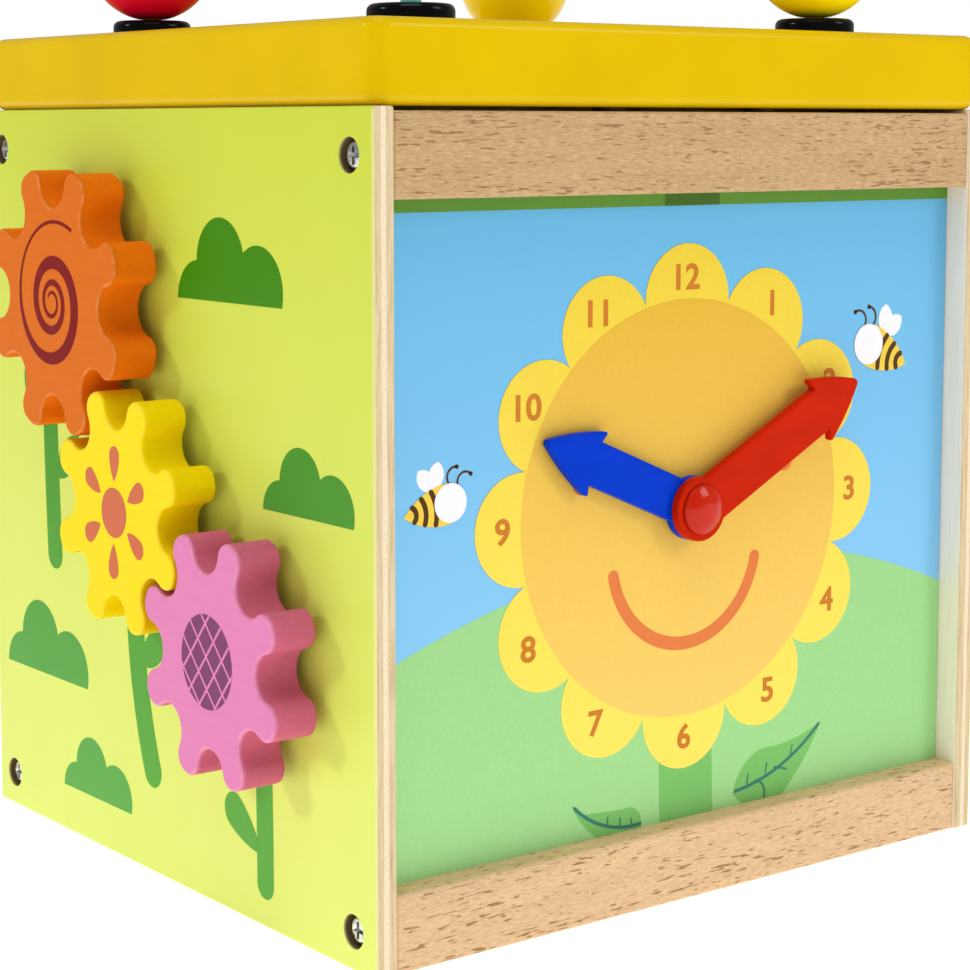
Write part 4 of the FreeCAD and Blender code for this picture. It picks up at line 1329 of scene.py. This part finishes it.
    def numerals(self, colours, dial):
        """Numerals 1 to 12, upright on the petals."""
        height, ring, widen = 6.5, 58.0, 1.1
        half_depth, hair = 0.5, 0.026
        layer = bpy.context.scene.cube_sizes.ink
        whole = bmesh.new()
        for hour in range(1, 13):
            text = bpy.data.curves.new("numeral", "FONT")
            text.body = str(hour)
            text.extrude = half_depth
            text.bevel_depth = hair
            text.bevel_resolution = 0
            holder = bpy.data.objects.new("numeral", text)
            bpy.context.scene.collection.objects.link(holder)
            seen = holder.evaluated_get(bpy.context.evaluated_depsgraph_get())
            mesh = bpy.data.meshes.new_from_object(seen)
            spots = [v.co for v in mesh.vertices]
            low = Vector([min(c[k] for c in spots) for k in range(3)])
            high = Vector([max(c[k] for c in spots) for k in range(3)])
            scale = height * MM / (high.y - low.y)
            x, y = polar(ring, 90 - 30 * hour, dial)
            spot = Matrix.Translation((x * MM, y * MM, 0))
            fit = Matrix.Diagonal((scale * widen, scale, layer, 1))
            centred = Matrix.Translation((-(low.x + high.x) / 2, -(low.y + high.y) / 2, half_depth))
            mesh.transform(spot @ fit @ centred)
            whole.from_mesh(mesh)
            bpy.data.objects.remove(holder)
            bpy.data.curves.remove(text)
            bpy.data.meshes.remove(mesh)
        bmesh.ops.remove_doubles(whole, verts=whole.verts, dist=0.002 * MM)
        whole.transform(self.face @ Matrix.Translation((0, 0, 3 * layer)))
        piece(whole, "numeral_print", "root", ink("numeral_brown_ink", colours.numeral))

    def insects(self, colours):
        """Two plain striped insects: pear body, pale head, paired wings and feelers."""
        white = ink("white_ink", colours.white)
        body_ink = ink("insect_yellow_ink", colours.insect_body)
        stripe_ink = ink("insect_brown_ink", colours.insect_stripe)
        body = (0, 0), [((6.0, 3.6), (11.5, 4.4)), ((15.2, 0), (11.5, -4.4)), ((6.0, -3.6), (0, 0))]
        wings = [oval((6.8, 6.2), 3.0, 2.0, 120), oval((9.6, 6.6), 3.0, 2.0, 70)]
        places = ((2.8, 1.5), (5.3, 2.7), (8.0, 3.5))
        stripes = [bow((x - 0.3, -y), (x + 0.4, 0), (x - 0.3, y), 1.2) for x, y in places]
        feelers = [
            bow((12.6, 4.0), (12.9, 6.6), (15.0, 7.2), 0.5),
            bow((14.8, 3.0), (16.0, 5.4), (18.4, 4.8), 0.5),
            disc((15.2, 7.1), 0.5),
            disc((18.5, 4.7), 0.5),
        ]
        insects = (((78.5, 129.2), 156.8, 1.28, True), ((-86.8, 103.9), 10.0, 1.1, False))

        def placed(shapes):
            return [
                moved(shape, at, scale, degrees, flip)
                for at, degrees, scale, flip in insects
                for shape in shapes
            ]

        self.show("wing_print", 1, white, placed(wings[:1]))
        self.show("near_wing_print", 2, white, placed(wings[1:]))
        self.show("insect_body_print", 3, body_ink, placed([body]))
        self.show("insect_head_print", 5, white, placed([disc((12.2, 0), 4.2)]))
        self.show("insect_stripe_print", 4, stripe_ink, placed(stripes))
        self.show("feeler_print", 1, stripe_ink, placed(feelers))


class CUBE_OT_hands(CubeOperator, bpy.types.Operator):
    """Arrow-shaped clock hands and the domed button that holds them"""

    bl_idname = "cube.hands"
    bl_label = "Clock hands"

    def build(self, sizes, colours):
        pin_low, pin_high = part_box("clock_pin")
        axis = middle("clock_pin")
        finishes = {
            "hour": (moulded_plastic("blue_moulded_plastic", colours.blue_plastic), "blue_plastic"),
            "minute": (moulded_plastic("red_moulded_plastic", colours.red_plastic), "red_plastic"),
        }
        for name, (plastic, slot) in finishes.items():
            node = name + "_hand"
            low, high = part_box(node)
            thickness = high.y - low.y
            parts = ("_length", "_shaft", "_head", "_head_length")
            bm = bmesh.new()
            self.arrow(bm, sizes, *(getattr(sizes, name + part) for part in parts))
            thicken(bm, bm.faces[:], -thickness)
            soften(bm, rim(bm, 0), sizes.hand_edge)
            bmesh.ops.recalc_face_normals(bm, faces=bm.faces)
            pierce(bm, -thickness, 0, sizes.pin_radius)
            turn = Matrix.Rotation(getattr(sizes, name + "_angle"), 4, "Z")
            bm.transform(facing(FRONT, (axis.x, low.y, axis.z)) @ turn)
            piece(bm, name + "_arrow", name + "_hand_arm", plastic, [node])
        gloss = moulded_plastic("red_polished_plastic", colours.red_plastic, 0.18, 0.12)
        self.button(sizes, axis, pin_low, pin_high, gloss)

    def arrow(self, bm, sizes, reach, shaft, head, head_length):
        """Flat arrow along X from a round hub at the origin."""
        hub = sizes.hand_hub
        neck = reach - head_length
        root = (math.sqrt(hub**2 - shaft**2 / 4), shaft / 2)
        barb = (neck - sizes.hand_sweep, head / 2)
        bulge = ((barb[0] + reach) / 2, head / 4 + sizes.hand_bulge)

        outline(bm, across(root), [
            ((-hub, 0), root),
            ((neck, shaft / 2),),
            (barb,),
            (bulge, (reach, 0)),
            (across(bulge), across(barb)),
            ((neck, -shaft / 2),),
            (across(root),),
        ])
        for corner, share in ((barb, 1.0), (across(barb), 1.0), ((reach, 0), 1.4)):
            vert = min(bm.verts, key=lambda v: (v.co.xy - Vector(corner)).length)
            round_corners(bm, [vert], sizes.hand_corner * share)

    def button(self, sizes, axis, low, high, plastic):
        """Domed button on its pin."""
        radius = (high.x - low.x) / 2
        height = sizes.button_height
        pin = sizes.pin_radius
        length = high.y - low.y - height
        bm = bmesh.new()
        revolve(bm, (0, height), [
            ((0.62 * radius, 0.80 * height), (0.97 * radius, 0.3 * height)),
            ((radius, 0.1 * height), (0.97 * radius, 0)),
            ((pin, 0),),
            ((pin, -length),),
            ((0, -length),),
        ], closed=False)
        bm.transform(along(FRONT, (axis.x, low.y + height, axis.z)))
        piece(bm, "clock_button", "root", plastic, ["clock_pin"])


class CUBE_OT_wires(CubeOperator, bpy.types.Operator):
    """Bent sleeved wires and their grommets on the lid"""

    bl_idname = "cube.wires"
    bl_label = "Maze wires"

    def build(self, sizes, colours):
        self.radius = sizes.wire_radius
        self.teal(sizes, colours)
        self.orange(sizes, colours)
        self.grommets(sizes, colours)

    def start(self, foot):
        """Capped ring at a wire's lower end; returns the bmesh and the ring's edges."""
        bm = bmesh.new()
        made = bmesh.ops.create_circle(
            bm, cap_ends=True, radius=self.radius, segments=28, matrix=Matrix.Translation(foot)
        )
        return bm, list({e for v in made["verts"] for e in v.link_edges})

    def bend(self, bm, edges, centre, axis, sweep, radius):
        """Round bend."""
        verts = list({v for e in edges for v in e.verts})
        steps = arc_steps(radius, sweep)
        made = bmesh.ops.spin(bm, geom=verts + edges, cent=centre, axis=axis, angle=sweep, steps=steps)
        return [g for g in made["geom_last"] if isinstance(g, bmesh.types.BMEdge)]

    def finish(self, bm, edges, name, wire, tint):
        """Cap the end and show the wire."""
        bmesh.ops.edgeloop_fill(bm, edges=edges)
        soft = sleeve(wire + "_wire_sleeve", tint)
        piece(bm, name, "root", soft, [wire + "_wire"])

    def teal(self, sizes, colours):
        """Two humps with a deep dip between them."""
        foot, end = wire_feet("teal_wire", self.radius)
        span = end - foot
        unit = span.normalized()
        hump = sizes.hump_radius
        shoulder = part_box("teal_wire")[1].z - self.radius - hump
        dip = span.length / 2 - 2 * hump
        axis = UP.cross(unit)
        level = Vector((foot.x, foot.y, shoulder))
        bm, edges = self.start(foot)
        edges = push(bm, edges, UP * (shoulder - foot.z))
        edges = self.bend(bm, edges, level + unit * hump, axis, math.pi, hump)
        edges = self.bend(bm, edges, level + span / 2, axis, -math.pi, dip)
        edges = self.bend(bm, edges, level + span - unit * hump, axis, math.pi, hump)
        edges = push(bm, edges, UP * (foot.z - shoulder))
        self.finish(bm, edges, "low_maze_wire", "teal", colours.teal_sleeve)

    def orange(self, sizes, colours):
        """Tall arch with a level top run."""
        foot, end = wire_feet("orange_wire", self.radius)
        span = end - foot
        unit = span.normalized()
        corner = sizes.arch_radius
        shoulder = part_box("orange_wire")[1].z - self.radius - corner
        axis = UP.cross(unit)
        level = Vector((foot.x, foot.y, shoulder))
        bm, edges = self.start(foot)
        edges = push(bm, edges, UP * (shoulder - foot.z))
        edges = self.bend(bm, edges, level + unit * corner, axis, math.pi / 2, corner)
        edges = push(bm, edges, unit * (span.length - 2 * corner))
        edges = self.bend(bm, edges, level + span - unit * corner, axis, math.pi / 2, corner)
        edges = push(bm, edges, UP * (foot.z - shoulder))
        self.finish(bm, edges, "tall_maze_wire", "orange", colours.orange_sleeve)

    def grommets(self, sizes, colours):
        """Black collars at the four feet."""
        low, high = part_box("wire_grommets")
        r = self.radius
        feet = [*wire_feet("teal_wire", r), *wire_feet("orange_wire", r)]
        outer = feet[0].x - low.x
        height, shoulder = high.z - low.z, sizes.grommet_shoulder
        throat, lip = 0.5 * MM, 0.4 * MM
        bend = ARC_MIDDLE
        whole = bmesh.new()
        for foot in feet:
            bm = bmesh.new()
            revolve(bm, (r, 0), [
                ((outer - lip, 0),),
                ((outer - lip * bend, lip * bend), (outer, lip)),
                ((outer, height - shoulder),),
                ((outer - shoulder * bend, height - shoulder * bend), (outer - shoulder, height)),
                ((r + throat, height),),
                ((r + throat * bend, height - throat * bend), (r, height - throat)),
                ((r, 0),),
            ])
            bm.transform(along(UP, (foot.x, foot.y, low.z)))
            absorb(whole, bm)
        black = shared("black_moulded_plastic", moulded_plastic, colours.black_plastic, 0.1)
        piece(whole, "maze_grommets", "root", black, ["wire_grommets"])


class CUBE_OT_beads(CubeOperator, bpy.types.Operator):
    """Turned wooden beads in gloss enamel"""

    bl_idname = "cube.beads"
    bl_label = "Beads"

    def build(self, sizes, colours):
        foot, end = wire_feet("orange_wire", sizes.wire_radius)
        tall = (end - foot).normalized()
        foot, end = wire_feet("teal_wire", sizes.wire_radius)
        span = end - foot
        dip = span.length / 2 - 2 * sizes.hump_radius
        beads = {
            "red_bead": ("red", UP),
            "yellow_bead": ("yellow", UP),
            "far_yellow_bead": ("yellow", UP),
            "green_bead": ("green", tall),
            "blue_bead": ("blue", tall),
            "purple_bead": ("purple", span.normalized()),
        }
        for node, (tint, axis) in beads.items():
            low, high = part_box(node)
            radius = max(high - low) / 2
            bore = sizes.bead_bore
            if node == "purple_bead":
                bore += dip - math.sqrt(dip**2 - radius**2)
            bm = bmesh.new()
            self.ball(bm, radius, bore, sizes.bead_rim)
            bm.transform(along(axis, middle(node)))
            enamel = shared(tint + "_gloss_enamel", gloss_enamel, getattr(colours, tint + "_enamel"))
            piece(bm, node.replace("bead", "ball"), node + "_ball", enamel, [node])

    def ball(self, bm, radius, bore, rim_radius):
        """Ball with a bore along Y and rounded rims."""
        lift = math.sqrt((radius - rim_radius) ** 2 - (bore + rim_radius) ** 2)
        hub = Vector((bore + rim_radius, lift))
        join = hub * (radius / (radius - rim_radius))
        lean = (Vector((-1, 0)) + hub.normalized()).normalized()
        cheek = hub + lean * rim_radius

        revolve(bm, (bore, -lift), [
            (across(cheek), across(join)),
            ((radius, 0), join),
            (cheek, (bore, lift)),
            ((bore, -lift),),
        ])


class CUBE_OT_sliders(CubeOperator, bpy.types.Operator):
    """Turned knobs and the slider panel's print"""

    bl_idname = "cube.sliders"
    bl_label = "Sliders"

    def build(self, sizes, colours):
        for name, tint in (("low", "red"), ("middle", "blue"), ("high", "green")):
            node = name + "_slider_knob"
            low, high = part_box(node)
            centre = middle(node)
            bm = bmesh.new()
            self.knob(bm, sizes, (high.z - low.z) / 2, high.x - low.x)
            bm.transform(along(RIGHT, (low.x, centre.y, centre.z)))
            enamel = shared(tint + "_gloss_enamel", gloss_enamel, getattr(colours, tint + "_enamel"))
            piece(bm, name + "_knob", name + "_slider", enamel, [node])
        self.wall(sizes, colours)

    def knob(self, bm, sizes, radius, thickness):
        """Round knob with a full front edge, a small back edge and a stem socket."""
        edge, back, stem = sizes.knob_edge, 0.8 * MM, sizes.knob_stem
        bend = ARC_MIDDLE
        revolve(bm, (0, thickness), [
            ((radius - edge, thickness),),
            ((radius - edge * bend, thickness - edge * bend), (radius, thickness - edge)),
            ((radius, back),),
            ((radius - back * bend, back * bend), (radius - back, 0)),
            ((stem, 0),),
            ((stem, sizes.knob_socket),),
            ((0, sizes.knob_socket),),
        ], closed=False)

    def wall(self, sizes, colours):
        """Round-ended tracks round the slots, with bushes and a tree beside them."""
        face = facing(RIGHT, (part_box("right_panel")[1].x, 0, 0))
        slots = self.slot_ends(sizes)
        margin = 0.7
        half = sizes.slot_width / MM / 2
        tints = (colours.petal_low, colours.sky_low, colours.hill_high)
        for (z, start, end), tint, name in zip(slots, tints, ("low", "middle", "high")):
            bm = bmesh.new()
            for reach in (half + margin, 13.0):
                trace(bm, *stadium(start, end, z, reach), MM)
            bmesh.ops.triangle_fill(bm, use_beauty=True, edges=bm.edges)
            thicken(bm, bm.faces[:], sizes.ink)
            bm.transform(face)
            piece(bm, name + "_track_print", "root", ink(name + "_track_ink", tint))
        green = bpy.data.materials["bush_green_ink"]
        places = (((-84, 12), 0.8), ((36, 14), 0.95), ((-70, 172), 0.6))
        bushes = [moved(bush(), at, scale) for at, scale in places]
        print_shapes("slider_bush_print", "root", face, 1, green, bushes)
        bark = ink("bark_brown_ink", colours.insect_stripe)
        print_shapes("trunk_print", "root", face, 1, bark, [stroke((70, 76), (70, 112), 6)])
        print_shapes("tree_print", "root", face, 2, green, [moved(bush(), (49, 104), 0.88)])

    def slot_ends(self, sizes):
        """Height of each slot, and the centres of its two round ends, in millimetres."""
        start = (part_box("clock_board")[1].y + 14 * MM) / MM
        end = (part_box("back_board")[0].y - 14 * MM) / MM
        return [(middle(name + "_slider_stem").z / MM, start, end) for name in ("low", "middle", "high")]


class CUBE_OT_tiles(CubeOperator, bpy.types.Operator):
    """Turning tiles with a shape outside and counting dots inside"""

    bl_idname = "cube.tiles"
    bl_label = "Tiles"

    def build(self, sizes, colours):
        shapes = {
            "lower_tile_1": (disc((0, 0), 16), "red"),
            "lower_tile_2": (polygon((-15, -15), (15, -15), (15, 15), (-15, 15)), "blue"),
            "lower_tile_3": (polygon((-18, -14), (18, -14), (0, 17)), "green"),
            "upper_tile_1": (star((0, -1), 19, 8.2), "yellow"),
            "upper_tile_2": (heart(32), "red"),
            "upper_tile_3": (polygon(*(polar(17, 60 * k) for k in range(6))), "purple"),
        }
        white = satin_white(colours)
        for count, (node, (shape, tint)) in enumerate(shapes.items(), 1):
            low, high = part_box(node)
            centre = middle(node)
            body = node + "_block"
            bm = bmesh.new()
            self.block(bm, high - low, sizes)
            bm.transform(Matrix.Translation(centre) @ Matrix.Rotation(math.pi / 2, 4, "Y"))
            piece(bm, node + "_slab", body, white, [node])
            print_ink = shared(tint + "_tile_ink", ink, getattr(colours, tint + "_enamel"))
            outside = facing(BACK, (centre.x, high.y, centre.z))
            inside = facing(FRONT, (centre.x, low.y, centre.z))
            print_shapes(node + "_shape_print", body, outside, 1, print_ink, [shape])
            spots = [disc(at, 3.6) for at in self.dots(count)]
            print_shapes(node + "_dot_print", body, inside, 1, print_ink, spots)

    def block(self, bm, size, sizes):
        """Soft-edged slab with a bore along Z, its long way; the caller lays Z along X."""
        bmesh.ops.create_cube(bm, size=1.0)
        bmesh.ops.scale(bm, vec=(size.z, size.y, size.x), verts=bm.verts)
        soften(bm, bm.edges[:], sizes.tile_edge)
        pierce(bm, -size.x / 2, size.x / 2, sizes.tile_bore)

    def dots(self, count):
        """Places of one to six dots in two columns."""
        if count == 1:
            return [(0, 0)]
        rows = math.ceil(count / 2)
        spots = [(x, 11 * (r - (rows - 1) / 2)) for r in range(rows) for x in (-9, 9)]
        if count % 2:
            spots[-2:] = [(0, 11 * (rows - 1) / 2)]
        return spots


# --- Panel, registration and run ------------------------------------------------------

OPERATORS = (
    CUBE_OT_stage,
    CUBE_OT_case,
    CUBE_OT_screws,
    CUBE_OT_lid,
    CUBE_OT_gear_wall,
    CUBE_OT_gears,
    CUBE_OT_clock_print,
    CUBE_OT_hands,
    CUBE_OT_wires,
    CUBE_OT_beads,
    CUBE_OT_sliders,
    CUBE_OT_tiles,
)
GROUPS = {"cube_sizes": CubeSizes, "cube_colours": CubeColours, "cube_stage": CubeStage}


class CUBE_PT_looks(bpy.types.Panel):
    """Lists the cube's operators and settings"""

    bl_label = "Activity Cube"
    bl_space_type = "VIEW_3D"
    bl_region_type = "UI"
    bl_category = "Activity Cube"

    def draw(self, context):
        for operator in OPERATORS:
            self.layout.operator(operator.bl_idname)
        for name, group in GROUPS.items():
            box = self.layout.box()
            for key in group.__annotations__:
                box.prop(getattr(context.scene, name), key)


def register():
    for group in (*GROUPS.values(), *OPERATORS, CUBE_PT_looks):
        bpy.utils.register_class(group)
    for name, group in GROUPS.items():
        setattr(bpy.types.Scene, name, bpy.props.PointerProperty(type=group))


def unregister():
    for name in GROUPS:
        delattr(bpy.types.Scene, name)
    for group in (CUBE_PT_looks, *reversed(OPERATORS), *GROUPS.values()):
        bpy.utils.unregister_class(group)


def main():
    """Build every piece in order."""
    register()
    for operator in OPERATORS:
        call = getattr(bpy.ops.cube, operator.bl_idname.split(".")[1])
        call()


if __name__ == "__main__":
    main()
